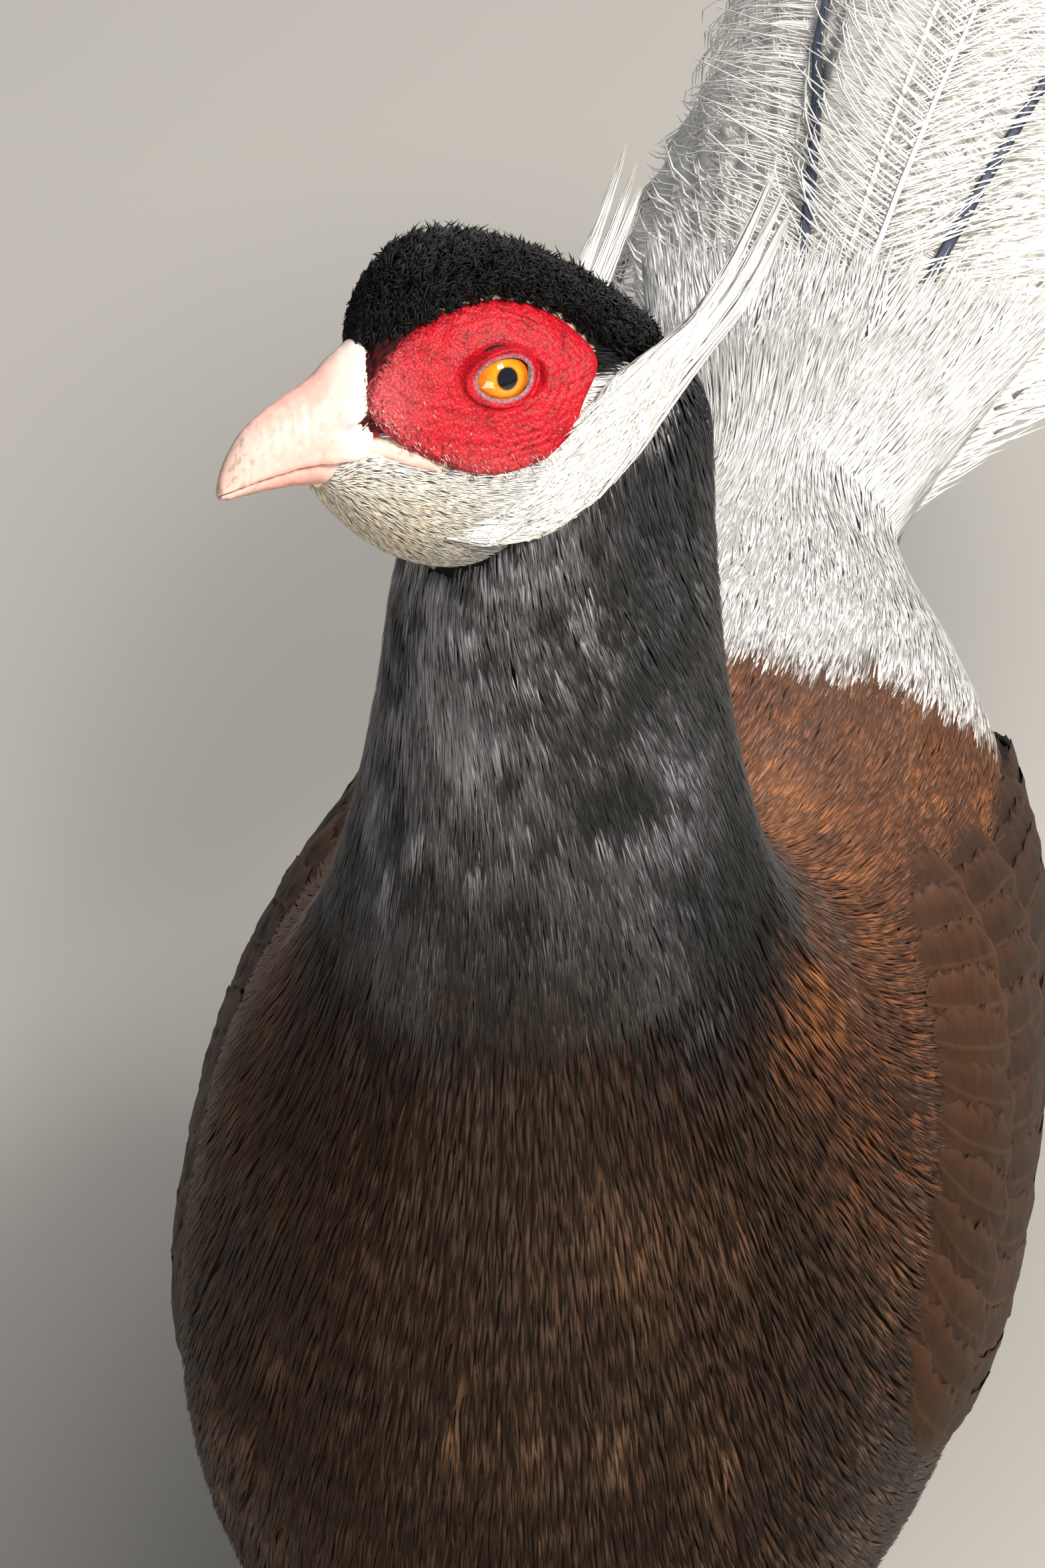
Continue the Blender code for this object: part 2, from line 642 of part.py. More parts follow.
def tail_core():
    # The tail coverts, as one ridged and flaring sheath that all the tail feathers come out of
    rings = []
    for shaft_stop, edge_stop in ((0.0, 0.0), (0.4, 0.4), (0.75, 0.72), (1.0, 0.80)):
        ring = []
        for k in range(COVERTS):
            for place, proud, stop in ((0.06, 0.0, edge_stop), (0.5, 0.8, shaft_stop), (1.0, 1.1, edge_stop)):
                turn = 2 * math.pi * (k + place) / COVERTS
                wide = (25.5 + 23.0 * stop**1.3 + proud) * MM
                deep = (21.5 - 5.0 * stop + proud) * MM
                ring.append((wide * math.sin(turn), TAIL_ROOT[1] - 0.008 + COVERT_LENGTH * stop,
                             TAIL_ROOT[2] - 0.001 + 0.026 * stop + deep * math.cos(turn)))
        rings.append(ring)
    return loft(rings)


def tail_pieces():
    pieces = [tail_core()]
    for side in (1, -1):
        pieces += [tail_vane(side, pair) for pair in range(TAIL_PAIRS)]
        for pair in range(PLUME_PAIRS):
            for share in np.linspace(0.17, 0.94, BARB_LOCKS):
                length = 0.050 * math.sin(math.pi * (0.28 + 0.55 * share))
                pieces.append(barb_lock(side, pair, share, length))
    return pieces


def tuft_base(side, grow=0.0):
    # The white band under the face, thinning out where the tuft's locks leave it
    rings = []
    for place in np.linspace(0, TUFT_BASE_END, 9):
        x, y, z, half, thick = row_at(TUFT, place)
        ahead = row_at(TUFT, place + 0.1) - row_at(TUFT, place - 0.1)
        over = np.array((-ahead[2], ahead[0])) / math.hypot(ahead[0], ahead[2])
        fade = 1 - max(place - 3.0, 0) / (TUFT_BASE_END - 3.0) * 0.65
        rings.append([
            (x + (half * fade + grow) * math.cos(a) * over[0],
             side * (y + (thick * fade + grow) * math.sin(a)),
             z + (half * fade + grow) * math.cos(a) * over[1])
            for a in np.linspace(0, 2 * math.pi, 10, endpoint=False)
        ])
    return loft(rings)


def tuft_lock(side, offset, tip, half):
    # One flat lock of the ear tuft: it starts within the band, off its middle line, and ends at tip
    start = 2.3
    rings = []
    for share, wide in zip((0.0, 0.3, 0.6, 0.85, 1.0), (1.0, 1.0, 0.8, 0.5, 0.12)):
        place = start + (len(TUFT) - 1 - start) * share
        x, y, z, band, _ = row_at(TUFT, place)
        ahead = row_at(TUFT, place + 0.1) - row_at(TUFT, place - 0.1)
        over = np.array((-ahead[2], 0.0, ahead[0])) / math.hypot(ahead[0], ahead[2])
        spot = np.array((x, y, z)) + over * band * offset * 0.62
        spot = spot + (np.array(tip) - np.array(TUFT[-1][:3])) * share**1.6
        ring = [spot - over * half * wide, spot + np.array((0, 0.75 * (1.15 - share), 0)),
                spot + over * half * wide, spot - np.array((0, 0.75 * (1.15 - share), 0))]
        rings.append([(a, side * b, c) for a, b, c in ring])
    return thin_loft(rings)


def tube(spine, sides=12):
    # Round loft along points with radii
    spots = np.array([s[:3] for s in spine], float)
    rings = []
    for i, (x, y, z, radius) in enumerate(spine):
        ahead = spots[min(i + 1, len(spots) - 1)] - spots[max(i - 1, 0)]
        ahead /= np.linalg.norm(ahead)
        aside = np.cross(ahead, (0, 0, 1.0)) if abs(ahead[2]) < 0.9 else np.cross(ahead, (0, 1.0, 0))
        aside /= np.linalg.norm(aside)
        over = np.cross(aside, ahead)
        ring = []
        for a in np.linspace(0, 2 * math.pi, sides, endpoint=False):
            ring.append(np.array((x, y, z)) + radius * (aside * math.cos(a) + over * math.sin(a)))
        rings.append(ring)
    return loft(rings)


LEG_X = 0.043
ANKLE = (0.038, 0.104)            # y and z of the heel joint
FOOT_ROOT = (0.006, 0.013)        # y and z where the toes meet
LEG_STEP = 0.011                  # the left foot stands this far ahead and the right as far behind
TOES = [                          # name, turn outward in degrees, length, root radius
    ("inner", -30, 0.046, 0.0058),
    ("middle", 2, 0.062, 0.0062),
    ("outer", 34, 0.048, 0.0056),
    ("hind", 172, 0.024, 0.0048),
]
CLAW_LENGTH = 0.012
CLAW_LIFT = 0.0006                # air under a claw's tip


def leg_shift(side):
    return -LEG_STEP * side


def thigh_solid(side, grow=0.0):
    x, shift = side * LEG_X, leg_shift(side)
    spine = [
        (side * 0.043, -0.004 + shift * 0.3, 0.205, 0.033),
        (side * 0.044, -0.001 + shift * 0.5, 0.180, 0.037),
        (side * 0.0445, 0.007 + shift * 0.7, 0.158, 0.033),
        (side * 0.044, 0.018 + shift, 0.138, 0.0235),
        (x, 0.029 + shift, 0.121, 0.0150),
        (x, ANKLE[0] + shift - 0.002, ANKLE[1] + 0.006, 0.0098),
    ]
    return tube([(a, b, c, r + grow) for a, b, c, r in spine], sides=20)


def tarsus_solid(side):
    # Scutes down the front are steps in the section, deepest at each plate's lower edge
    x, shift, rings = side * LEG_X, leg_shift(side), []
    top = np.array((x, ANKLE[0] + shift, ANKLE[1] + 0.0045))
    foot = np.array((x, FOOT_ROOT[0] + shift, FOOT_ROOT[1] + 0.0065))
    ahead = (foot - top) / np.linalg.norm(foot - top)
    front = np.cross((1.0, 0, 0), ahead)
    plates = 10
    for k in range(plates):
        for share, proud in ((0.0, 0.0), (0.86, 0.0007)):
            s = (k + share) / plates
            centre = top + (foot - top) * s
            radius = 0.0052 + 0.0026 * (1 - min(s / 0.14, 1)) ** 2 + 0.0016 * max(s - 0.85, 0) / 0.15
            ring = []
            for a in np.linspace(0, 2 * math.pi, 10, endpoint=False):
                step = proud * max(0.0, math.cos(a)) ** 0.5
                ring.append(centre + front * (radius * 1.12 + step) * math.cos(a)
                            + np.array((1.0, 0, 0)) * (radius * 0.92 + step) * math.sin(a))
            rings.append(ring)
    return loft(rings)


def toe_frame(side, turn):
    # Direction of a toe on the floor, turned outward from straight ahead
    angle = math.radians(turn) * side
    return np.array((math.sin(angle), -math.cos(angle), 0.0))


def toe_root(side):
    return np.array((side * LEG_X, FOOT_ROOT[0] + leg_shift(side), 0.0))


def toe_section(spot, ahead, thick, sides=8):
    # Upright section of a toe, level on the floor
    aside = np.cross(ahead, (0, 0, 1.0))
    ring = [spot + thick * (aside * math.cos(a) + np.array((0, 0, 1.0)) * math.sin(a))
            for a in np.linspace(0, 2 * math.pi, sides, endpoint=False) + math.pi / 8]
    return [(x, y, max(z, FOOT_LEVEL)) for x, y, z in ring]


def toe_solid(side, turn, length, radius):
    root, ahead = toe_root(side), toe_frame(side, turn)
    hind = abs(turn) > 90
    rings = []
    for share in np.linspace(0, 1, 8):
        pad = 1 + 0.10 * math.cos(share * math.pi * 7)
        thick = radius * (1 - 0.30 * share) * pad
        rise = (FOOT_ROOT[1] - radius) * (1 - min(share / 0.3, 1)) ** 2
        if hind:
            rise = (FOOT_ROOT[1] + 0.002 - radius) * (1 - min(share / 0.75, 1)) ** 2
        spot = root + ahead * (0.002 + length * share)
        rings.append(toe_section(spot + np.array((0, 0, thick * 0.86 + rise)), ahead, thick))
    return loft(rings)


def foot_hub(side):
    root = toe_root(side)
    rings = []
    for z, radius in ((0.0016, 0.0060), (0.0075, 0.0088), (0.0135, 0.0082), (FOOT_ROOT[1] + 0.0058, 0.0068)):
        rings.append([
            (root[0] + radius * math.cos(a), root[1] + radius * math.sin(a), z)
            for a in np.linspace(0, 2 * math.pi, 10, endpoint=False)
        ])
    return loft(rings)


def claw_solid(side, turn, length, radius):
    root, ahead = toe_root(side), toe_frame(side, turn)
    base, rings = root + ahead * (0.002 + length + GAP), []
    for share in np.linspace(0, 1, 6):
        spot = base + ahead * CLAW_LENGTH * share
        thick = radius * 0.50 * (1 - share) ** 0.8 + 0.0004
        lift = max(radius * 0.62 * (1 - share**1.7) + thick * 0.5 + 0.0002, thick + CLAW_LIFT)
        rings.append(toe_section(spot + np.array((0, 0, lift)), ahead, thick, 7))
    return loft(rings)


def looks():
    return {
        "black": finish("black_feather", (0.012, 0.012, 0.014), 0.55),
        "brown": finish("brown_feather", (0.10, 0.052, 0.028), 0.6),
        "white": finish("white_feather", (0.86, 0.83, 0.78), 0.7),
        "red": finish("bare_red_skin", (0.62, 0.018, 0.035), 0.5),
        "horn": finish("pink_horn", (0.78, 0.58, 0.52), 0.4),
        "iris": finish("orange_iris", (0.85, 0.34, 0.02), 0.1),
        "leg": finish("red_leg_scale", (0.45, 0.03, 0.03), 0.45),
        "claw": finish("dark_claw", (0.12, 0.09, 0.08), 0.4),
    }


def build_body(look):
    neck = place_solid("neck", body_solid(0.0, NECK_END - PART_STEP), look["black"])
    for cutter in [head_loft(HEAD, 0.35), head_loft(CROWN, 0.35), face_window(1), face_window(-1),
                   tuft_base(1, 0.35), tuft_base(-1, 0.35)]:
        combine(neck, "DIFFERENCE", [in_head(cutter)])
    trunk_end = len(BODY) - 1.0
    torso = place_solid("torso", body_solid(NECK_END, trunk_end), look["brown"])
    combine(torso, "DIFFERENCE", [rump_side(True)])
    rump = place_solid("rump", body_solid(NECK_END, trunk_end), look["white"])
    combine(rump, "DIFFERENCE", [rump_side(False)])


def build_head(look):
    head = place_solid("head", in_head(head_loft(HEAD)), look["white"])
    cutters = [face_pocket(1), face_pocket(-1), bill_solid(True, 0.3), bill_solid(False, 0.3),
               gape_solid(1, 0.35), gape_solid(-1, 0.35)]
    for cutter in cutters:
        combine(head, "DIFFERENCE", [in_head(cutter)])
    crown = place_solid("crown", in_head(head_loft(CROWN)), look["black"])
    for cutter in [head_loft(HEAD, 0.3), face_window(1), face_window(-1), bill_solid(True, 0.3)]:
        combine(crown, "DIFFERENCE", [in_head(cutter)])
    for side, word in ((1, "left"), (-1, "right")):
        face = place_solid(f"face_{word}", in_head(face_solid(side)), look["red"])
        for cutter in (bill_solid(True, 0.3), gape_solid(side, 0.35)):
            combine(face, "DIFFERENCE", [in_head(cutter)])
        place_solid(f"eye_{word}", in_head(eye_solid(side)), look["iris"])
    upper = place_solid("bill_upper", in_head(bill_solid(True)), look["horn"])
    combine(upper, "UNION", [in_head(gape_solid(side)) for side in (1, -1)])
    for side in (1, -1):
        combine(upper, "DIFFERENCE", [in_head(nostril_solid(side))])
    place_solid("bill_lower", in_head(bill_solid(False)), look["horn"])


def build_limbs(look):
    for side, word in ((1, "left"), (-1, "right")):
        thigh = place_solid(f"thigh_{word}", thigh_solid(side), look["brown"])
        combine(thigh, "DIFFERENCE", [body_solid(4.0, len(BODY) - 1.0, GAP)])
        combine(thigh, "DIFFERENCE", [wing_room(side)])
        combine(thigh, "DIFFERENCE", [tarsus_clearance(side)])
        place_solid(f"tarsus_{word}", tarsus_solid(side), look["leg"])
        foot = place_solid(f"foot_{word}", foot_hub(side), look["leg"])
        combine(foot, "UNION", [toe_solid(side, turn, length, radius) for _, turn, length, radius in TOES])
        combine(foot, "DIFFERENCE", [tarsus_clearance(side)])
        for name, turn, length, radius in TOES:
            place_solid(f"claw_{word}_{name}", claw_solid(side, turn, length, radius), look["claw"])


def tarsus_clearance(side):
    # The tarsus with air round it, so that the feathered leg and the foot make room for it
    points, faces = tarsus_solid(side)
    points = np.array(points)
    top = np.array((side * LEG_X, ANKLE[0] + leg_shift(side), ANKLE[1] + 0.0045))
    foot = np.array((side * LEG_X, FOOT_ROOT[0] + leg_shift(side), FOOT_ROOT[1] + 0.0065))
    ahead = (foot - top) / np.linalg.norm(foot - top)
    along = (points - top) @ ahead
    on_axis = top + along[:, None] * ahead
    out = points - on_axis
    reach = np.linalg.norm(out, axis=1, keepdims=True)
    out = np.where(reach > 1e-6, out / np.maximum(reach, 1e-6), 0)
    ends = np.where(along < 1e-6, -1.0, np.where(along > along.max() - 1e-6, 1.0, 0.0))
    return points + out * GAP * 1.3 + ends[:, None] * ahead * GAP * 1.3, faces


def build_wings(look):
    for side, word in ((1, "left"), (-1, "right")):
        wing = place_solid(f"wing_{word}", wing_solid(side), look["brown"])
        combine(wing, "DIFFERENCE", [body_solid(0.0, len(BODY) - 1.0, GAP)])


def build_tail(look):
    core, *feathers = tail_pieces()
    tail = place_solid("tail", core, look["white"])
    combine(tail, "UNION", feathers)
    root = Matrix.Translation(TAIL_ROOT)
    tail.data.transform(root @ Matrix.Rotation(-math.radians(TAIL_YAW), 4, "Z") @ root.inverted())
    combine(tail, "DIFFERENCE", [body_solid(4.0, len(BODY) - 1.0, GAP)])


def build_ear_tufts(look):
    for side, word in ((1, "left"), (-1, "right")):
        tuft = place_solid(f"ear_tuft_{word}", in_head(tuft_base(side)), look["white"])
        combine(tuft, "UNION", [in_head(tuft_lock(side, *lock)) for lock in TUFT_LOCKS])
        for cutter in (head_loft(HEAD, 0.3), face_window(side), head_loft(CROWN, 0.3)):
            combine(tuft, "DIFFERENCE", [in_head(cutter)])


def recentre():
    # Puts the origin on the floor under the middle of the bounding box
    spots = np.array([v.co for item in bpy.data.objects for v in item.data.vertices])
    low, high = spots.min(axis=0), spots.max(axis=0)
    shift = Matrix.Translation((-(low[0] + high[0]) / 2, -(low[1] + high[1]) / 2, -low[2]))
    for item in bpy.data.objects:
        item.data.transform(shift)


def main():
    clear_scene()
    look = looks()
    build_body(look)
    build_head(look)
    build_limbs(look)
    build_wings(look)
    build_tail(look)
    build_ear_tufts(look)
    recentre()


main()
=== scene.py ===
import math
from collections import defaultdict

import bpy
import numpy as np
from mathutils import Matrix, Vector
from mathutils.kdtree import KDTree


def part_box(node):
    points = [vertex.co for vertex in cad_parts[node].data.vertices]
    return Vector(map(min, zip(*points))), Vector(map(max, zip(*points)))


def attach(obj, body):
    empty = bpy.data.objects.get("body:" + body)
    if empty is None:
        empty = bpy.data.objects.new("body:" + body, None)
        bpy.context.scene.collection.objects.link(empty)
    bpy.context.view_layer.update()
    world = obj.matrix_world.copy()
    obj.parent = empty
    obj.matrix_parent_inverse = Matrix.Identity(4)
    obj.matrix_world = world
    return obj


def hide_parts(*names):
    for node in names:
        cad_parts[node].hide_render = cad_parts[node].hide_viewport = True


# A brown eared pheasant: skin, plumage, bill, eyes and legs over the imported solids.
# Body places are read from tables of sections, as station and angle: 0 at the back, 90 degrees
# on the bird's left, 180 at the front. Head places are in millimetres from the point midway
# between the eyes: x towards the bill, y to the bird's left, z up.

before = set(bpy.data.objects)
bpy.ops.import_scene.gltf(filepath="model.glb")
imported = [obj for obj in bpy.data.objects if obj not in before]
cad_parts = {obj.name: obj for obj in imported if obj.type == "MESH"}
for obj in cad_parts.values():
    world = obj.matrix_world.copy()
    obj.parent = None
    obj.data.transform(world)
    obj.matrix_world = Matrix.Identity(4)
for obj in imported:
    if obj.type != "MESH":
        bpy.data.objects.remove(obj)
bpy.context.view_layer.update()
mm = 0.001
twoPi = 2 * math.pi
sides = ((1, "Left"), (-1, "Right"))

# back y, back z, belly y, belly z, half width, sideways offset, turn about the vertical
bodyRows = np.array([
    (-0.0930, 0.4680, -0.1280, 0.4750, 0.0130, 0.0117, -54), (-0.0900, 0.4550, -0.1430, 0.4655, 0.0190, 0.0119, -54),
    (-0.0865, 0.4260, -0.1505, 0.4270, 0.0295, 0.0075, -36), (-0.0820, 0.4010, -0.1540, 0.3930, 0.0340, 0.0060, -16),
    (-0.0735, 0.3760, -0.1600, 0.3560, 0.0400, 0.0050, -4), (-0.0600, 0.3500, -0.1700, 0.3120, 0.0500, 0.0040, 0),
    (-0.0380, 0.3310, -0.1800, 0.2600, 0.0655, 0.0035, 0), (-0.0080, 0.3230, -0.1780, 0.2030, 0.0785, 0.0030, 0),
    (0.0300, 0.3200, -0.1430, 0.1550, 0.0860, 0.0030, 0), (0.0650, 0.3170, -0.0660, 0.1290, 0.0870, 0.0030, 0),
    (0.0980, 0.3130, 0.0260, 0.1300, 0.0835, 0.0020, 0), (0.1300, 0.3060, 0.0900, 0.1570, 0.0735, 0.0010, 0),
    (0.1600, 0.3000, 0.1380, 0.1930, 0.0580, 0, 0), (0.1860, 0.2960, 0.1760, 0.2250, 0.0410, 0, 0),
    (0.2060, 0.2950, 0.2090, 0.2510, 0.0260, 0, 0),
])
wingRows = np.vstack([bodyRows[:11], [
    (0.1320, 0.3050, 0.0900, 0.1500, 0.0755, 0.0010, 0), (0.1660, 0.2980, 0.1400, 0.1600, 0.0620, 0, 0),
    (0.1980, 0.2880, 0.1860, 0.1660, 0.0500, 0, 0), (0.2300, 0.2750, 0.2280, 0.1700, 0.0400, 0, 0),
]])
# the same trunk for its coat alone, running on over the root of the tail
coatRows = np.vstack([bodyRows[:14], [
    (0.2120, 0.2975, 0.2090, 0.2490, 0.0300, 0, 0), (0.2460, 0.3075, 0.2430, 0.2670, 0.0385, 0, 0),
    (0.2800, 0.3175, 0.2770, 0.2810, 0.0485, 0, 0),
]])
# x, top, underside, half width
headRows = np.array([
    (33, -18.5, -22.5, 3), (29, -12, -26, 7), (24, 4, -30.5, 10), (16, 14, -35.5, 13.5), (8, 18.5, -38.3, 16.5),
    (0, 20, -39, 18.5), (-10, 19, -37, 20.3), (-20, 15, -31, 20.5), (-30, 8.5, -20, 17.5), (-38, 1, -9, 9),
])
crownRows = np.array([
    (24.5, 9, 3, 4.5), (22, 16.5, 1.5, 8.5), (18, 22.3, 2, 11), (12, 26, 6, 13.5), (4, 27.3, 10, 15.5),
    (-6, 26.5, 11, 16.5), (-16, 23.4, 7, 18), (-26, 18.8, 0.5, 18), (-36, 12.8, -2.5, 15), (-42, 7.5, -1.5, 8),
])
# x, ridge, mouth line, lower edge, half width
billRows = np.array([
    (20, 4, -16.2, -22.6, 8.2), (24, 5.5, -16.6, -23, 8.6), (28, 3.2, -17, -22.9, 8.2), (33, -1.7, -18, -22.7, 7.3),
    (38.4, -5.3, -19.3, -23.2, 6.2), (44, -9.2, -21.2, -24.2, 4.9), (47.5, -12.6, -22.6, -25, 3.8),
    (50, -16.6, -23.8, -25.6, 2.7), (51.5, -20.6, -24.5, -25.6, 1.6), (52, -23.4, -24.9, -25.3, 0.6),
])
# the fleshy strip at the mouth: x, y, z, half height
gapeRows = np.array([(31.5, 5.0, -14.2, 2.2), (30, 5.5, -13.8, 2.6), (25, 6.9, -14.0, 2.6), (20, 9.4, -15.2, 2.2),
                     (16, 11.9, -16.6, 1.6), (12.5, 14.3, -17.8, 0.9), (11.3, 15.1, -18.2, 0.3)])
# x, z of the edge of the bare skin round the eye
faceOutline = np.array([
    (25, -5.9), (21.5, 2), (14.9, 9), (7.6, 13.4), (-1, 15.2), (-9.5, 13.6), (-16, 9.8), (-20.6, 3.6),
    (-17.2, -4), (-13.5, -12.1), (-6, -17.4), (4, -19.2), (13, -16.2), (20.5, -12.4),
])
# x, y, z, half width, half thickness of the white band that runs out in the ear tuft
tuftRows = np.array([
    (9, 11.2, -31, 3.2, 0.5), (-8, 17.0, -25.5, 6.8, 0.8), (-20, 20.3, -13.8, 8.0, 1.5), (-30, 22.4, -1.6, 6.6, 1.9),
    (-37, 25.6, 9.8, 4.4, 1.7), (-43.8, 29.0, 22.2, 2.4, 1.2), (-51.8, 31, 42, 0.4, 0.3),
])
rumpLine = np.array([(0.018, 0.330), (0.190, 0.196)])    # y, z of the parting of brown and white


# Colours, noise and curves

def toLinear(code):
    channels = [int(code[i:i + 2], 16) / 255 for i in (1, 3, 5)]
    return np.array([c / 12.92 if c <= 0.04045 else ((c + 0.055) / 1.055) ** 2.4 for c in channels])


def linearColours(codes):
    return {name: toLinear(code) for name, code in codes.items()}


def smoothStep(low, high, value):
    share = np.clip((np.asarray(value, float) - low) / (high - low), 0, 1)
    return share * share * (3 - 2 * share)


def mixed(first, second, share):
    share = np.asarray(share, float)[..., None]
    return first * (1 - share) + second * share


def softNoise(points, size, seed):
    # sums of waves in random directions, about -1 to 1, one wave about size long
    dice = np.random.default_rng(seed)
    total = np.zeros(len(points))
    for _ in range(7):
        way = dice.normal(size=3)
        way *= dice.uniform(0.7, 1.4) * 2 * math.pi / size / np.linalg.norm(way)
        total += np.sin(points @ way + dice.uniform(0, 6.28))
    return total / 3.2


def nearestOf(hubs, spots):
    tree = KDTree(len(hubs))
    for index, hub in enumerate(hubs):
        tree.insert(hub, index)
    tree.balance()
    return np.array([tree.find(spot)[1] for spot in spots])


def splined(a, b, c, d, f):
    return 0.5 * (2 * b + (c - a) * f + (2 * a - 5 * b + 4 * c - d) * f**2 + (3 * b - a - 3 * c + d) * f**3)


def readRows(rows, place):
    # smooth reading of a table at fractional rows
    place = np.clip(np.asarray(place, float), 0, len(rows) - 1.0)
    low = np.minimum(place.astype(int), len(rows) - 2)
    near = (rows[np.clip(low + k, 0, len(rows) - 1)] for k in (-1, 0, 1, 2))
    return splined(*near, (place - low)[..., None])


def closedCurve(spots, count):
    place = np.linspace(0, len(spots), count, endpoint=False)
    low = place.astype(int)
    return splined(*(spots[(low + k) % len(spots)] for k in range(4)), (place % 1)[:, None])


ovalPower = 2.2    # sections a little squarer than an ellipse


def circle(count):
    return np.linspace(0, twoPi, count, endpoint=False)


def rounded(value):
    return np.sign(value) * np.abs(value) ** (2 / ovalPower)


def unit(vectors):
    return vectors / np.maximum(np.linalg.norm(vectors, axis=-1, keepdims=True), 1e-12)


# Surfaces that carry the coat. Each takes two places and a lift over the solid, and returns points

def bodyAt(place, angle, lift=0.0, rows=bodyRows):
    cells = readRows(rows, place)
    backY, backZ, bellyY, bellyZ, halfWidth, offset, turn = np.moveaxis(cells, -1, 0)
    run, rise = backY - bellyY, backZ - bellyZ
    size = np.hypot(run, rise)
    run, rise, half, turn = run / size, rise / size, size / 2, np.radians(turn)
    deep, wide = (half + lift) * rounded(np.cos(angle)), (halfWidth + lift) * rounded(np.sin(angle))
    return np.stack([
        offset - run * np.sin(turn) * deep + np.cos(turn) * wide + shift[0],
        (backY + bellyY) / 2 + run * np.cos(turn) * deep + np.sin(turn) * wide + shift[1],
        (backZ + bellyZ) / 2 + rise * deep,
    ], axis=-1)


shift = np.zeros(3)
ringPlaces, ringAngles = np.meshgrid(np.arange(6, 11, 0.5), circle(28))
trunkSpots = bodyAt(ringPlaces.ravel(), ringAngles.ravel())
low, high = (np.array(corner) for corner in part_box("torso"))
shift = np.array([(low[0] + high[0] - trunkSpots[:, 0].min() - trunkSpots[:, 0].max()) / 2,
                  low[1] - trunkSpots[:, 1].min(), 0.0])


headPose = {"eyes": (-0.010, -0.130, 0.470), "turn": 54, "nod": 11, "lean": 17}
headMatrix = (Matrix.Translation(Vector(headPose["eyes"]) + Vector(shift))
              @ Matrix.Rotation(-math.pi / 2 - math.radians(headPose["turn"]), 4, "Z")
              @ Matrix.Rotation(-math.radians(headPose["nod"]), 4, "Y")
              @ Matrix.Rotation(math.radians(headPose["lean"]), 4, "X") @ Matrix.Scale(mm, 4))
headTurn = np.array(headMatrix.to_3x3())
headPlace = np.array(headMatrix.translation)


def fromHead(points):
    return np.asarray(points, float) @ headTurn.T + headPlace


def toHead(points):
    return (points - headPlace) @ np.linalg.inv(headTurn).T


def mirrored(points, side):
    # the tables of the head hold for its left side
    return points * np.array((1, side, 1))


def ovalAt(rows, place, angle, lift=0.0):
    x, top, low, half = np.moveaxis(readRows(rows, place), -1, 0)
    return np.stack([x + 0 * angle, (half + lift) * rounded(np.sin(angle)),
                     (top + low) / 2 + ((top - low) / 2 + lift) * rounded(np.cos(angle))], axis=-1)


def headAt(place, angle, lift=0.0):
    return fromHead(ovalAt(headRows, place, angle, lift / mm))


def crownAt(place, angle, lift=0.0):
    return fromHead(ovalAt(crownRows, place, angle, lift / mm))


def headSection(x):
    # top, underside and half width of the head at a place along it
    return (np.interp(-x, -headRows[:, 0], headRows[:, k]) for k in (1, 2, 3))


def headSide(x, z):
    # half width of the head at a place seen from the side
    top, low, half = headSection(x)
    share = np.minimum(np.abs(z - (top + low) / 2) / ((top - low) / 2), 0.98)
    return half * (1 - share**ovalPower) ** (1 / ovalPower)


# the folded wing: station with its upper and lower edge in degrees, station with its height over
# the trunk in mm, the stations over which its pressed edge fades out, and how deep that edge lies
wingEdges = np.array([(6.3, 44, 98), (7.5, 46, 110), (9, 52, 116), (10.5, 64, 116), (12, 80, 113), (14, 96, 108)])
wingBed = ((6.3, 7.2, 8.2, 9.4, 11.0, 13.3), (-0.8, 1.4, 2.8, 3.0, 2.2, 0.9))
wingRim = {"fade": (9.8, 11.4), "depth": 1.0}


def wingLimits(place):
    return (np.interp(place, wingEdges[:, 0], wingEdges[:, k]) for k in (1, 2))


def wingAt(side):
    # place is the station, and share runs from the upper edge at 0 to the lower one at 1
    def surface(place, share, lift=0.0):
        top, low = wingLimits(place)
        edge = (2 * np.asarray(share) - 1) ** 4 * np.interp(place, wingRim["fade"], (1.0, 0.0))
        level = np.interp(place, *wingBed) * mm * (1 - edge) - wingRim["depth"] * mm * edge
        return bodyAt(place, side * np.radians(top + (low - top) * share), level + lift, wingRows)
    return surface


def trunkAt(place, angle, lift=0.0):
    return bodyAt(place, angle, lift, coatRows)


tailRoot, tailYaw = np.array((0.0, 0.212, 0.273)), math.radians(7.5)
tailTurn = np.array([(math.cos(tailYaw), math.sin(tailYaw), 0), (-math.sin(tailYaw), math.cos(tailYaw), 0),
                     (0, 0, 1)])


def turnTail(points):
    return tailRoot + (points - tailRoot) @ tailTurn.T + shift


# values for the first pair of tail feathers, and what each further pair adds or takes away
tailShape = {"aside": (0.0015, 0.0014), "spread": (0.9, 2.1), "run": (0.490, 0.0165, 0.0007), "drop": 0.0010,
             "rise": (0.130, 0.0072), "fall": (0.110, 0.0030), "arch": 2.2, "overlap": 1.9}


def tailRun(pair):
    run = tailShape["run"]
    return run[0] - run[1] * pair - run[2] * pair**2


def tailSpine(pair, share):
    share = np.asarray(share, float)
    aside, spread, rise, fall = (tailShape[key] for key in ("aside", "spread", "rise", "fall"))
    turn, run = math.radians(spread[0] + spread[1] * pair), tailRun(pair) * share
    return np.stack([aside[0] + aside[1] * pair + run * math.sin(turn), tailRoot[1] + run * math.cos(turn),
                     tailRoot[2] - tailShape["drop"] * pair
                     + (rise[0] - rise[1] * pair) * np.sin(tailShape["arch"] * share)
                     - (fall[0] - fall[1] * pair) * share**2], axis=-1)


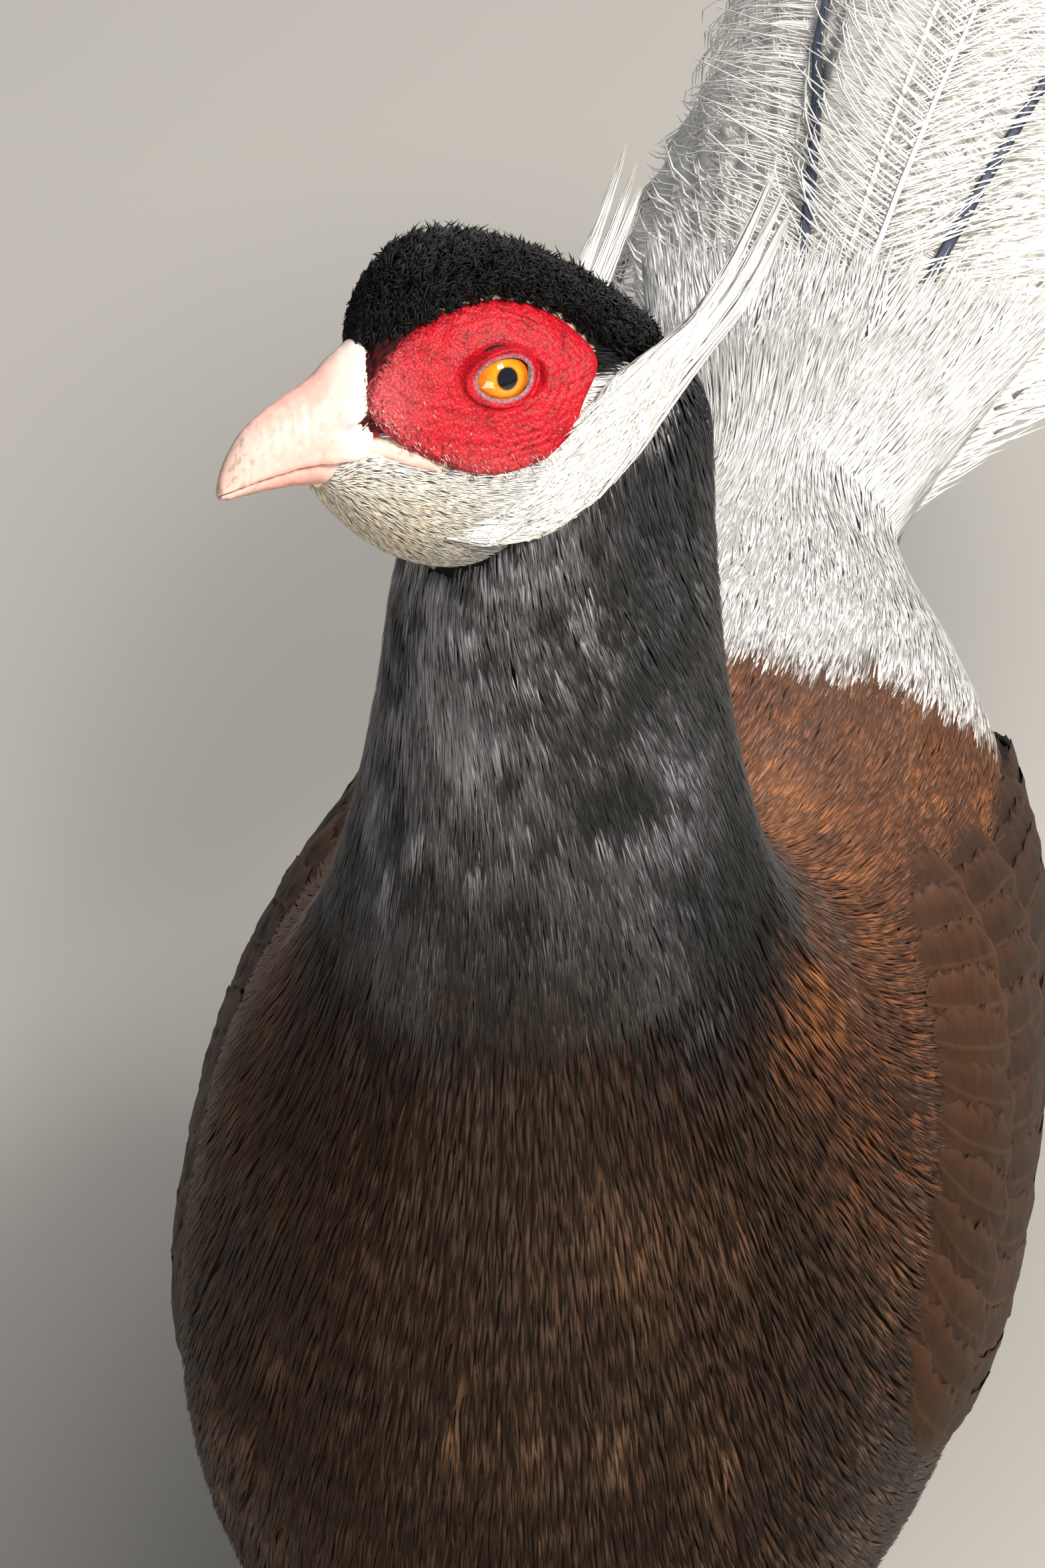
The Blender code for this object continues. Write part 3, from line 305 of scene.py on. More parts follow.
def tailFrame(pair, share):
    # ahead, across and over at a place on a feather, tilted so that each feather overlaps the next
    ahead = unit(tailSpine(pair, share + 0.02) - tailSpine(pair, share - 0.02))
    nearer = max(pair - 0.6, 0.0)
    across = tailSpine(pair + 1, share) - tailSpine(nearer, share)
    across = across - ahead * np.sum(across * ahead, axis=-1, keepdims=True)
    spacing = np.linalg.norm(across, axis=-1, keepdims=True) / (pair + 1 - nearer)
    across = unit(across)
    over = np.cross(across, ahead)
    tilt = np.arctan2(tailShape["overlap"] * mm, spacing)
    return ahead, across * np.cos(tilt) + over * np.sin(tilt), over * np.cos(tilt) - across * np.sin(tilt)


# Materials

def addNode(tree, kind, inputs=None, **settings):
    made = tree.nodes.new(kind)
    for name, value in settings.items():
        setattr(made, name, value)
    for name, value in (inputs or {}).items():
        if isinstance(value, bpy.types.NodeSocket):
            tree.links.new(value, made.inputs[name])
        else:
            made.inputs[name].default_value = value
    return made


def newMaterial(name, values):
    made = bpy.data.materials.new(name)
    made.use_nodes = True
    shader = made.node_tree.nodes["Principled BSDF"]
    for key, value in values.items():
        shader.inputs[key].default_value = value
    return made, made.node_tree, shader


def attributeNode(tree, name):
    return addNode(tree, "ShaderNodeAttribute", attribute_name=name).outputs


def textureNode(tree, kind, size, inputs=None, **settings):
    # a texture in the object's own space, its spots or cells about size mm wide
    spots = addNode(tree, "ShaderNodeTexCoord").outputs["Object"]
    return addNode(tree, kind, {"Vector": spots, "Scale": 1 / (size * mm), **(inputs or {})}, **settings).outputs


def rangeNode(tree, value, span, low, high):
    return addNode(tree, "ShaderNodeMapRange", {"Value": value, "From Min": span[0], "From Max": span[1],
                                                "To Min": low, "To Max": high}).outputs["Result"]


def tintNode(tree, shader, colour, factor):
    # the surface colour is a colour times a factor
    mix = addNode(tree, "ShaderNodeMix", {"Factor": 1.0, 6: colour, 7: factor}, data_type="RGBA",
                  blend_type="MULTIPLY")
    tree.links.new(mix.outputs[2], shader.inputs["Base Color"])


def twoTone(tree, factor, first, second):
    return addNode(tree, "ShaderNodeMix", {"Factor": factor, 6: (*toLinear(first), 1), 7: (*toLinear(second), 1)},
                   data_type="RGBA").outputs[2]


def bumpNode(tree, shader, height, strength, distance):
    bump = addNode(tree, "ShaderNodeBump", {"Height": height, "Strength": strength, "Distance": distance})
    tree.links.new(bump.outputs["Normal"], shader.inputs["Normal"])
    return bump


def plumeMaterial(name, roughness, specular=0.5, glow=0.0, mottle=0.12, grain=2.5, barb=0.20, barbShade=0.30,
                  relief=0.05, calm=0.65):
    # keratin barbs: every tuft's own tone is painted on the mesh, and lines run along it. Real barbs lie
    # under 0.1 mm apart, too fine to show, so the lines are drawn barb mm apart. calm is how far the coat
    # shades as one smooth surface, as overlapping barbs do, and not tuft by tuft; glow is the light that
    # white down lets through
    made, tree, shader = newMaterial(name, {"Roughness": roughness, "IOR": 1.55, "Specular IOR Level": specular})
    if glow:
        for key, value in (("Weight", glow), ("Radius", (0.004, 0.0035, 0.003)), ("Scale", 0.5)):
            shader.inputs["Subsurface " + key].default_value = value
    lines = addNode(tree, "ShaderNodeMapping", {"Vector": attributeNode(tree, "fibre")["Vector"],
                                                "Scale": (1 / barb, 0.12, 1)})
    barbs = addNode(tree, "ShaderNodeTexNoise", {"Vector": lines.outputs["Vector"], "Scale": 1.0,
                                                 "Detail": 1.0}).outputs["Fac"]
    noise = textureNode(tree, "ShaderNodeTexNoise", grain, {"Detail": 3.0})["Fac"]
    both = addNode(tree, "ShaderNodeMath", {0: rangeNode(tree, barbs, (0.3, 0.7), 1 - barbShade, 1 + barbShade),
                                            1: rangeNode(tree, noise, (0.3, 0.7), 1 - mottle, 1 + mottle)},
                   operation="MULTIPLY")
    tintNode(tree, shader, attributeNode(tree, "coatColour")["Color"], both.outputs["Value"])
    bump = bumpNode(tree, shader, barbs, 1.0, relief * mm)
    if calm:
        lie = attributeNode(tree, "lie")["Vector"]
        surface = addNode(tree, "ShaderNodeNewGeometry").outputs
        facing = addNode(tree, "ShaderNodeVectorMath", {0: lie, 1: surface["True Normal"]},
                         operation="DOT_PRODUCT")
        outward = addNode(tree, "ShaderNodeMath", {0: facing.outputs["Value"]}, operation="SIGN")
        turned = addNode(tree, "ShaderNodeVectorMath", {0: lie, "Scale": outward.outputs["Value"]},
                         operation="SCALE")
        calmed = addNode(tree, "ShaderNodeMix", {"Factor": calm, 4: surface["Normal"], 5: turned.outputs["Vector"]},
                         data_type="VECTOR")
        tree.links.new(calmed.outputs[1], bump.inputs["Normal"])
    return made


# the slot and the material of each kind of coat. Hackles keep a soft gloss, contour and flight feathers
# are dull and mottled, down and plush are pale and let light through, the tail's barbs shine a little
# like silk, and the velvet is rough and drinks light
looks = {
    "neckPlume": ("black_feather", plumeMaterial("blackKeratinHackle", 0.38, specular=0.45, relief=0.03)),
    "brownPlume": ("brown_feather", plumeMaterial("brownKeratinContourFeather", 0.5, specular=0.12, mottle=0.2,
                                                  calm=0.75)),
    "wingPlume": ("brown_feather", plumeMaterial("brownKeratinFlightFeather", 0.55, specular=0.08, grain=6,
                                                 barb=0.42, barbShade=0.16, relief=0.06)),
    "whitePlume": ("white_feather", plumeMaterial("whiteDownyPlume", 0.65, specular=0.12, glow=0.3, mottle=0.03,
                                                  barbShade=0.05, relief=0.03, calm=0.85)),
    "tailPlume": ("white_feather", plumeMaterial("looseSilkyTailPlume", 0.55, specular=0.25, glow=0.1, mottle=0.04,
                                                 barb=0.5, barbShade=0.12, relief=0.08, calm=0.6)),
    "velvet": ("black_feather", plumeMaterial("curledBlackVelvetPile", 0.55, specular=0.15, calm=0.2)),
    "plush": ("white_feather", plumeMaterial("whiteFacePlush", 0.65, specular=0.12, glow=0.35, mottle=0.03,
                                             grain=1.5, barbShade=0.08, relief=0.03, calm=0.9)),
    "skin": ("brown_feather", plumeMaterial("featheredSkinUnderDown", 0.8, specular=0.1, mottle=0.06, calm=0)),
}
print("materials ready")


# Meshes from arrays

def paintMesh(mesh, colours):
    layer = mesh.color_attributes.new("coatColour", "FLOAT_COLOR", "POINT")
    layer.data.foreach_set("color", np.column_stack([colours, np.ones(len(colours))]).astype(np.float32).ravel())


def buildMesh(name, points, triangles, material, colours=None, patches=None, fibres=None, lies=None):
    mesh = bpy.data.meshes.new(name)
    mesh.vertices.add(len(points))
    mesh.vertices.foreach_set("co", np.ascontiguousarray(points, np.float32).ravel())
    mesh.loops.add(len(triangles) * 3)
    mesh.loops.foreach_set("vertex_index", np.ascontiguousarray(triangles, np.int32).ravel())
    mesh.polygons.add(len(triangles))
    mesh.polygons.foreach_set("loop_start", np.arange(0, len(triangles) * 3, 3, dtype=np.int32))
    mesh.polygons.foreach_set("use_smooth", np.ones(len(triangles), bool))
    mesh.update(calc_edges=True)
    if colours is not None:
        paintMesh(mesh, colours)
    for key, values in (("fibre", fibres), ("lie", lies)):
        if values is not None:
            layer = mesh.attributes.new(key, "FLOAT_VECTOR", "POINT")
            layer.data.foreach_set("vector", np.ascontiguousarray(values, np.float32).ravel())
    if patches is not None:
        layer = mesh.uv_layers.new(name="OFBake")
        layer.data.foreach_set("uv", patches[np.asarray(triangles).ravel()].astype(np.float32).ravel())
    mesh.materials.append(material)
    piece = bpy.data.objects.new(name, mesh)
    bpy.context.scene.collection.objects.link(piece)
    return piece


def remeshed(piece, voxel, smoothing=0):
    # one closed skin round solids that overlap
    remesh = piece.modifiers.new("remesh", "REMESH")
    remesh.mode, remesh.voxel_size, remesh.use_smooth_shade = "VOXEL", voxel, True
    if smoothing:
        piece.modifiers.new("smooth", "SMOOTH").iterations = smoothing
    graph = bpy.context.evaluated_depsgraph_get()
    mesh, material = bpy.data.meshes.new_from_object(piece.evaluated_get(graph)), piece.data.materials[0]
    piece.modifiers.clear()
    piece.data = mesh
    mesh.materials.clear()
    mesh.materials.append(material)
    return mesh


def mount(piece, slot, *nodes):
    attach(piece, "root")
    if nodes:
        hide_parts(*nodes)
    print(f"{piece.name}: {len(piece.data.polygons)} faces")


def addPart(coat, points, triangles, **layers):
    # joins a part, with its values at each point, to the parts gathered so far
    coat["triangles"].append(triangles + sum(len(part) for part in coat["points"]))
    for key, values in {"points": points, **layers}.items():
        coat[key].append(values)


def joinCoat(name, coat, material):
    return buildMesh(name, material=material, **{key: np.concatenate(parts) for key, parts in coat.items()})


def finishCoat(name, coat, look, *nodes):
    slot, material = looks[look]
    mount(joinCoat(name, coat, material), slot, *nodes)

def addStrands(coat, centres, over, halfWidth, thickness, colours, roots, shown=None):
    # Closed three-sided strands. centres: strand, ring, xyz, the last ring being the tip; over: the
    # outward direction at each ring; colours: strand, ring, rgb; roots: u, v of each strand; shown: the
    # outward direction that the coat shades by, where it isn't over
    count, rings = centres.shape[:2]
    ahead = unit(np.gradient(centres, axis=1))
    across = unit(np.cross(ahead, over))
    over = np.cross(across, ahead)
    half = np.broadcast_to(halfWidth, (count, rings))[:, :-1, None]
    thick = np.broadcast_to(thickness, (count, rings))[:, :-1, None]
    body = centres[:, :-1]
    around = np.stack([body - half * across[:, :-1], body + half * across[:, :-1], body + thick * over[:, :-1]],
                      axis=2)
    points = np.concatenate([around.reshape(count, -1, 3), centres[:, -1:]], axis=1)
    size, one = points.shape[1], [(0, 1, 2)]
    for ring in range(rings - 2):
        for k in range(3):
            a, b = ring * 3 + k, ring * 3 + (k + 1) % 3
            one += [(b, a, a + 3), (b, a + 3, b + 3)]
    last = (rings - 2) * 3
    one += [(last + (k + 1) % 3, last + k, size - 1) for k in range(3)]
    triangles = (np.array(one)[None] + (np.arange(count) * size)[:, None, None]).reshape(-1, 3)
    shade = np.concatenate([np.repeat(colours[:, :-1], 3, axis=1), colours[:, -1:]], axis=1)
    along = np.append(np.repeat(np.linspace(-1, 0.8, rings - 1), 3), 1.0)
    aside = np.append(np.tile([-1.0, 1.0, 0.0], rings - 1), 0.0)
    patch = np.stack([aside, along], axis=-1) * 0.0015
    patches = 0.002 + 0.996 * roots[:, None, :] + patch[None]
    reach = np.linalg.norm(centres[:, -1] - centres[:, 0], axis=1) / mm
    fibres = np.stack([aside * np.append(np.repeat(half[:, :, 0], 3, axis=1), 0 * reach[:, None], axis=1) / mm,
                       (along + 1) * reach[:, None] / 2,
                       np.repeat(np.arange(count)[:, None] * 7.31 % 997, size, axis=1)], axis=-1)
    shown = over if shown is None else shown
    lies = np.concatenate([np.repeat(shown[:, :-1], 3, axis=1), shown[:, -1:]], axis=1)
    addPart(coat, points.reshape(-1, 3), triangles, colours=shade.reshape(-1, 3), patches=patches.reshape(-1, 2),
            fibres=fibres.reshape(-1, 3), lies=lies.reshape(-1, 3))


def loopTriangles(rings, size, closed=False):
    # triangles of rings of points: closed joins the last ring to the first, and otherwise the two
    # middles that closeEnds adds after the rings shut the ends
    r, k = np.meshgrid(np.arange(rings - (not closed)), np.arange(size), indexing="ij")
    beside, above = (k + 1) % size, (r + 1) % rings * size
    a, b, c, d = r * size + k, r * size + beside, above + beside, above + k
    sheets = [np.stack([a, b, c], -1).reshape(-1, 3), np.stack([a, c, d], -1).reshape(-1, 3)]
    if not closed:
        ring, last, middle = np.arange(size), (rings - 1) * size, rings * size
        sheets += [np.stack([ring * 0 + middle, (ring + 1) % size, ring], -1),
                   np.stack([ring * 0 + middle + 1, last + ring, last + (ring + 1) % size], -1)]
    return np.concatenate(sheets)


def closeEnds(points, size):
    return np.vstack([points, points[:size].mean(axis=0), points[-size:].mean(axis=0)])


def turnedOut(points, triangles):
    # the triangles of a closed form, the right way out
    a, b, c = (points[triangles[:, k]] - points.mean(axis=0) for k in range(3))
    return triangles if np.sum(np.cross(a, b) * c) > 0 else triangles[:, ::-1]


def tube(centre, aside, over, wide, high, turns):
    # rings round a line of centres, wide and high being their half sizes along aside and over
    return (centre[:, None] + aside * (wide * np.cos(turns))[..., None]
            + over * (high * np.sin(turns))[..., None])


def slopes(surface, u, v, step=0.01):
    alongU = (surface(u + step, v) - surface(u - step, v)) / (2 * step)
    alongV = (surface(u, v + step) - surface(u, v - step)) / (2 * step)
    return alongU, alongV


def scatter(surface, count, uRange, vRange, seed, density=None):
    # roots spread evenly by the surface's true area, as u and v
    golden, trial = 1.2207440846057596, 3000    # the golden ratio of three dimensions

    def draw(total):
        sequence = (0.137 * seed + np.arange(1, total + 1)[:, None] / golden ** np.array([1, 2, 3])) % 1
        u = uRange[0] + sequence[:, 0] * (uRange[1] - uRange[0])
        v = vRange[0] + sequence[:, 1] * (vRange[1] - vRange[0])
        alongU, alongV = slopes(surface, u, v)
        weight = np.linalg.norm(np.cross(alongU, alongV), axis=1)
        if density is not None:
            weight = weight * density(u, v)
        return u, v, weight, sequence[:, 2], alongU, alongV

    weight = draw(trial)[2]
    most = np.percentile(weight, 99.5)
    u, v, weight, chance, alongU, alongV = draw(int(count * most / max(weight.mean(), 1e-12)))
    kept = chance * most < weight
    # shaken by most of a spacing, so that no rows show
    area = weight.mean() * (uRange[1] - uRange[0]) * (vRange[1] - vRange[0])
    shake = np.random.default_rng(seed).normal(0, 0.8 * math.sqrt(area / count), (2, len(u)))
    u = np.clip(u + shake[0] / np.linalg.norm(alongU, axis=1), *uRange)
    v = np.clip(v + shake[1] / np.linalg.norm(alongV, axis=1), *vRange)
    return u[kept], v[kept]


def layTufts(coat, surface, paint, length, count, uRange, vRange, seed, halfWidth, density=None, thickness=0.0002,
             depth=0.004, rise=0.0005, rings=3, spread=0.12, stand=2.0, curl=0.0, clump=0.0, clumpPull=0.4,
             away=None, ruffle=0.0):
    # tufts follow the surface towards growing u, from a root at -depth up to the tip at rise. They
    # lean together in clumps about clump wide, and ruffle lets them catch the light in patches
    u, v = scatter(surface, count, uRange, vRange, seed, density)
    dice = np.random.default_rng(seed)
    count = len(u)
    length = np.broadcast_to(length(u, v) if callable(length) else length, count) * dice.uniform(0.8, 1.15, count)
    alongU, alongV = slopes(surface, u, v)
    paceU, paceV = np.linalg.norm(alongU, axis=1), np.linalg.norm(alongV, axis=1)
    turn = dice.normal(0, spread, count) + (away(u, v) if away else 0.0)
    shares = np.linspace(0, 1, rings)
    stepU = length[:, None] * shares * np.cos(turn)[:, None] / paceU[:, None]
    bend = dice.normal(0, curl, count)[:, None] * shares**2 if curl else 0.0
    stepV = length[:, None] * (shares * np.sin(turn)[:, None] + bend) / paceV[:, None]
    top = (rise(u, v) if callable(rise) else rise) * dice.uniform(0.2, 1.3, count)
    lift = -depth + (top + depth)[:, None] * (1 - (1 - shares) ** stand)
    placeU, placeV = u[:, None] + stepU, v[:, None] + stepV
    centres = surface(placeU, placeV, lift)
    over = unit(np.cross(alongU, alongV))
    middle = surface(u, v, -0.02)
    over *= np.sign(np.sum(over * (centres[:, 0] - middle), axis=1))[:, None]
    over = np.repeat(over[:, None], rings, axis=1)
    tone = dice.normal(0, 1, count)
    if clump:
        area = np.mean(paceU * paceV) * (uRange[1] - uRange[0]) * (vRange[1] - vRange[0])
        hubs = surface(*scatter(surface, int(max(area / clump**2, 8)), uRange, vRange, seed + 5), float(top.mean()))
        nearest = nearestOf(hubs, centres[:, -1])
        pull = (hubs[nearest] - centres[:, -1]) * clumpPull
        pull -= over[:, 0] * np.sum(pull * over[:, 0], axis=1)[:, None]
        centres = centres + pull[:, None] * (shares**1.5)[None, :, None]
        tone = 0.6 * tone + 1.0 * dice.normal(0, 1, len(hubs))[nearest]
    breadth = np.interp(shares, (0, 0.35, 0.75, 1), (0.7, 1, 0.75, 0.1))
    width = halfWidth * dice.uniform(0.75, 1.25, count)[:, None] * breadth
    colours = paint(centres, tone, shares, placeU, placeV)
    flat = np.stack([(u - uRange[0]) / (uRange[1] - uRange[0]), (v - vRange[0]) / (vRange[1] - vRange[0])], axis=-1)
    # the coat lies in soft folds and fine streaks
    spots = surface(u, v)
    ahead = unit(alongU)
    aside = np.cross(over[:, 0], ahead)
    raised = 0.3 + softNoise(spots, 0.044, seed + 7) * 0.7 + softNoise(spots, 0.016, seed + 8) * 0.4 + 0.18 * tone
    turned = softNoise(spots, 0.024, seed + 9) * 0.6 + softNoise(spots, 0.009, seed + 10) * 0.4
    shown = unit(over[:, 0] - ahead * (ruffle * raised)[:, None] + aside * (ruffle * turned)[:, None])
    shown = np.repeat(shown[:, None], rings, axis=1)
    addStrands(coat, centres, over, width, thickness, colours, np.clip(flat, 0, 1), shown)


# Markings, shared by skin and coat, and the sheen painted on the neck's coat

# the pale grey #92939c is painted on the tips of the black neck feathers as a painted sheen, not their own colour
palette = linearColours({
    "black": "#0a0a0b", "blackTip": "#232428", "paintedSheen": "#92939c", "darkBrown": "#271c16", "breast": "#302117",
    "breastLight": "#5e4433", "lore": "#6e1a22", "stubble": "#1f1214",
    "chestnut": "#5e371f", "chestnutLight": "#84522c", "belly": "#3b2b1f", "bellyLight": "#604c3a",
    "white": "#faf8f4", "silver": "#e4e2e0", "cream": "#f3e7d2", "warmCream": "#e4d0ae",
    "slate": "#3c4357", "purple": "#232238", "tailBrown": "#2b2326",
})
# where one colour gives way to another, as the two ends of each change: stations along the trunk,
# shares of the way from back to front, and metres behind the parting of brown and white
# three of these marks, two stations along the neck and a share towards the front, bound where the neck's painted
# sheen shows
marks = {"chest": (3.4, 5.2), "mottledBreast": (4.5, 5.9), "belly": (6.2, 8.6), "flank": (0.72, 0.32),
         "rump": (-0.004, 0.005), "rumpStart": (5.4, 6.2), "paintedSheenStart": (0.7, 1.6), "paintedSheenEnd": (4.4, 3.0),
         "paintedSheenFront": (0.4, 0.9), "neckEdge": (5.10, 1.45), "neckSoft": (0.16, 0.80)}


def marked(key, value):
    # how far the change has gone at a value
    return smoothStep(*marks[key], value)


def behindRump(points):
    # metres behind the parting of brown and white
    way = rumpLine[1] - rumpLine[0]
    out = np.array((-way[1], way[0])) / np.hypot(*way)
    return (points[:, 1:] - shift[1:] - rumpLine[0]) @ out


def bodyMarks(points, place, angle):
    # colour of the plumage of neck, trunk and thighs at places on it, with the shares of brown and white
    front = (1 - np.cos(angle)) / 2
    wobble = softNoise(points, 0.045, 11) * 0.5 + softNoise(points, 0.012, 12) * 0.3
    edge = marks["neckEdge"][0] - marks["neckEdge"][1] * front**2
    soft = marks["neckSoft"][0] + marks["neckSoft"][1] * front**2
    brown = smoothStep(-1, 1, (place - edge + wobble * soft * 0.6) / soft)
    patch = smoothStep(0.0, 0.9, softNoise(points * (0.5, 1, 1.5), 0.046, 13) * 0.6
                       + softNoise(points, 0.016, 14) * 0.4)
    chest = mixed(palette["darkBrown"], palette["breast"], marked("chest", place))
    chest = mixed(chest, palette["breastLight"], patch * 0.8 * marked("mottledBreast", place))
    under = mixed(palette["belly"], palette["bellyLight"], patch * 0.6)
    back = mixed(palette["chestnut"], palette["chestnutLight"], patch * 0.7)
    trunk = mixed(mixed(chest, under, marked("belly", place)), back, marked("flank", front))
    colour = mixed(palette["black"], trunk, brown)
    white = marked("rump", behindRump(points) + wobble * 0.004) * marked("rumpStart", place)
    return mixed(colour, palette["white"], white), brown, white


def shaded(root, tip, shares):
    # from the root's colour to the tip's along each tuft
    return root[:, None] * (1 - shares)[None, :, None] + tip[:, None] * shares[None, :, None]


def paintBody(centres, tone, shares, place, angle):
    # the colour at the root holds for the tuft; its tip is lighter, and on the black neck the tips are mixed in
    # patches towards a pale grey, a painted sheen that is strongest down the middle and the front of the neck
    colour, brown, white = bodyMarks(centres[:, 0], place[:, 0], angle[:, 0])
    strength = np.clip(1 + tone * (0.10 + 0.25 * (1 - brown)) * (1 - white * 0.8), 0.4, 1.9)[:, None]
    # painted sheen: noise patches, strongest down the middle and the front of the neck, lighten the black tips
    # towards pale grey
    paintedSheen = softNoise(centres[:, 0], 0.036, 15) * 0.7 + softNoise(centres[:, 0], 0.012, 16) * 0.3 + 0.25 * tone
    band = 0.3 + 0.7 * marked("paintedSheenStart", place[:, 0]) * marked("paintedSheenEnd", place[:, 0])
    band = band * (0.3 + 0.7 * marked("paintedSheenFront", (1 - np.cos(angle[:, 0])) / 2))
    sheenTip = mixed(palette["blackTip"], palette["paintedSheen"], smoothStep(-0.8, 1.3, paintedSheen) * band)
    tip = mixed(mixed(sheenTip, colour * 1.2, brown), palette["white"], white)
    root = colour * (0.85 + 0.13 * white)[:, None]
    return np.clip(shaded(root, tip, shares) * strength[:, None], 0, 0.97)


def blackLine(x):
    # lower edge of the black over the face and behind it
    return np.interp(x, (-40, -31, -19, -16, 30), (15, 8.0, -0.5, 1, 1))


def whiteLine(x):
    # lower edge of the white of the face, as z at x in the head
    return np.interp(x, (-38, -31, -22, -12, -3.5, 1, 6, 30), (-3, -9.5, -20, -29, -36, -40, -46, -46))


def napeLine(x):
    # half width of the black that comes up the nape
    return np.interp(x, (-26, -8), (15.5, -3.0))


def paintHead(centres, tone, shares, place, angle):
    spots = toHead(centres[:, 0])
    x, z = spots[:, 0], spots[:, 2]
    ragged = softNoise(spots, 7, 21) * 1.4
    white = smoothStep(-1.2, 1.2, z - whiteLine(x) + ragged)
    white = white * smoothStep(-2.0, 2.0, np.abs(spots[:, 1]) - napeLine(x) + ragged)
    white = white * smoothStep(0.8, -0.8, z - blackLine(x))
    warm = smoothStep(-8, 22, x) * smoothStep(-14, -30, z)
    light = mixed(palette["white"], palette["cream"], warm * 0.9)
    light = mixed(light, palette["warmCream"], warm * smoothStep(-0.2, 0.8, softNoise(spots, 4, 22)) * 0.5)
    colour = mixed(palette["black"], light, white)
    tip = mixed(palette["blackTip"], np.minimum(light * 1.08, 0.95), white)
    lore = smoothStep(12.5, 14.5, x) * smoothStep(-13.5, -11.5, z)
    colour, tip = mixed(colour, palette["lore"], lore), mixed(tip, palette["stubble"], lore)
    strength = np.clip(1 + tone * (0.16 - 0.11 * white), 0.6, 1.3)[:, None, None]
    root = colour * (0.72 + 0.22 * white)[:, None]
    return np.clip(shaded(root, tip, shares) * strength, 0, 0.95)


def paintVelvet(centres, tone, shares, place, angle):
    # the pile is darker at the root, and its tips are painted lighter and bluish, a painted blue sheen on the black
    root, tip = palette["black"][None] * 0.5, palette["black"][None] * (1.5, 1.55, 1.8)
    return shaded(root, tip, shares**2) * np.clip(1 + 0.35 * tone, 0.4, 2.2)[:, None, None]


def paintWhite(centres, tone, shares, place, angle):
    return np.clip((palette["white"] + 0 * centres) * (1 + 0.04 * tone)[:, None, None], 0, 0.95)


def outsideFace(spots, margin=0.0):
    # whether places in the head, seen from the side, lie outside the bare skin's outline
    line = closedCurve(faceOutline, 240)
    turns, reach = np.arctan2(line[:, 1], line[:, 0]), np.hypot(line[:, 0], line[:, 1])
    order = np.argsort(turns)
    limit = np.interp(np.arctan2(spots[:, 2], spots[:, 0]), turns[order], reach[order], period=twoPi)
    return np.hypot(spots[:, 0], spots[:, 2]) > limit + margin


# The skin under the coat, one closed surface from the head to the tail's root

def gridMesh(surface, uRange, vCount, uCount, lift=0.0):
    u, v = np.linspace(*uRange, uCount), circle(vCount)
    return closeEnds(surface(np.repeat(u, vCount), np.tile(v, uCount), lift), vCount), loopTriangles(uCount, vCount)


# one foot stands a step ahead of the other; ankle and foot as y and z
stance = {"x": 0.043, "ankle": (0.038, 0.104), "foot": (0.006, 0.013), "step": 0.011}
# x, y, share of the step, z, radius of a thigh
thighRows = ((0.043, -0.004, 0.3, 0.205, 0.033), (0.044, -0.001, 0.5, 0.180, 0.037),
             (0.0445, 0.007, 0.7, 0.158, 0.033), (0.044, 0.018, 1, 0.138, 0.0235),
             (0.043, 0.029, 1, 0.121, 0.0150), (0.043, 0.036, 1, 0.110, 0.0098))


def thighAt(side):
    rows = np.array([(side * x, y - stance["step"] * side * share, z, radius)
                     for x, y, share, z, radius in thighRows])

    def surface(place, angle, lift=0.0):
        x, y, z, radius = np.moveaxis(readRows(rows, place), -1, 0)
        later, before = readRows(rows, place + 0.05), readRows(rows, place - 0.05)
        ahead = unit((later - before)[..., :3])
        aside = unit(np.cross(ahead, (0.0, 1.0, 0.0)))
        over = np.cross(aside, ahead)
        reach = (radius + lift)[..., None]
        centre = np.stack([x, y, z], axis=-1) + shift
        return centre + reach * (aside * np.cos(angle)[..., None] + over * np.sin(angle)[..., None])
    return surface


# how deep the skin lies under the solids' surfaces, on the trunk by station; the dark ridge is the
# lower edge of the crown's black, as z at x in the head
skinSpec = {"voxel": 0.0022, "smoothing": 3, "trunk": ((0, 1, 5, 7), (0.0012, 0.0013, 0.0013, 0.0018)),
            "head": 0.0010, "crown": 0.0024, "thigh": 0.0018, "halfHead": 26, "lowest": 0.42,
            "darkRidge": ((-40, -26, -6, 12, 24), (-2, 2, 11, 7, 3))}


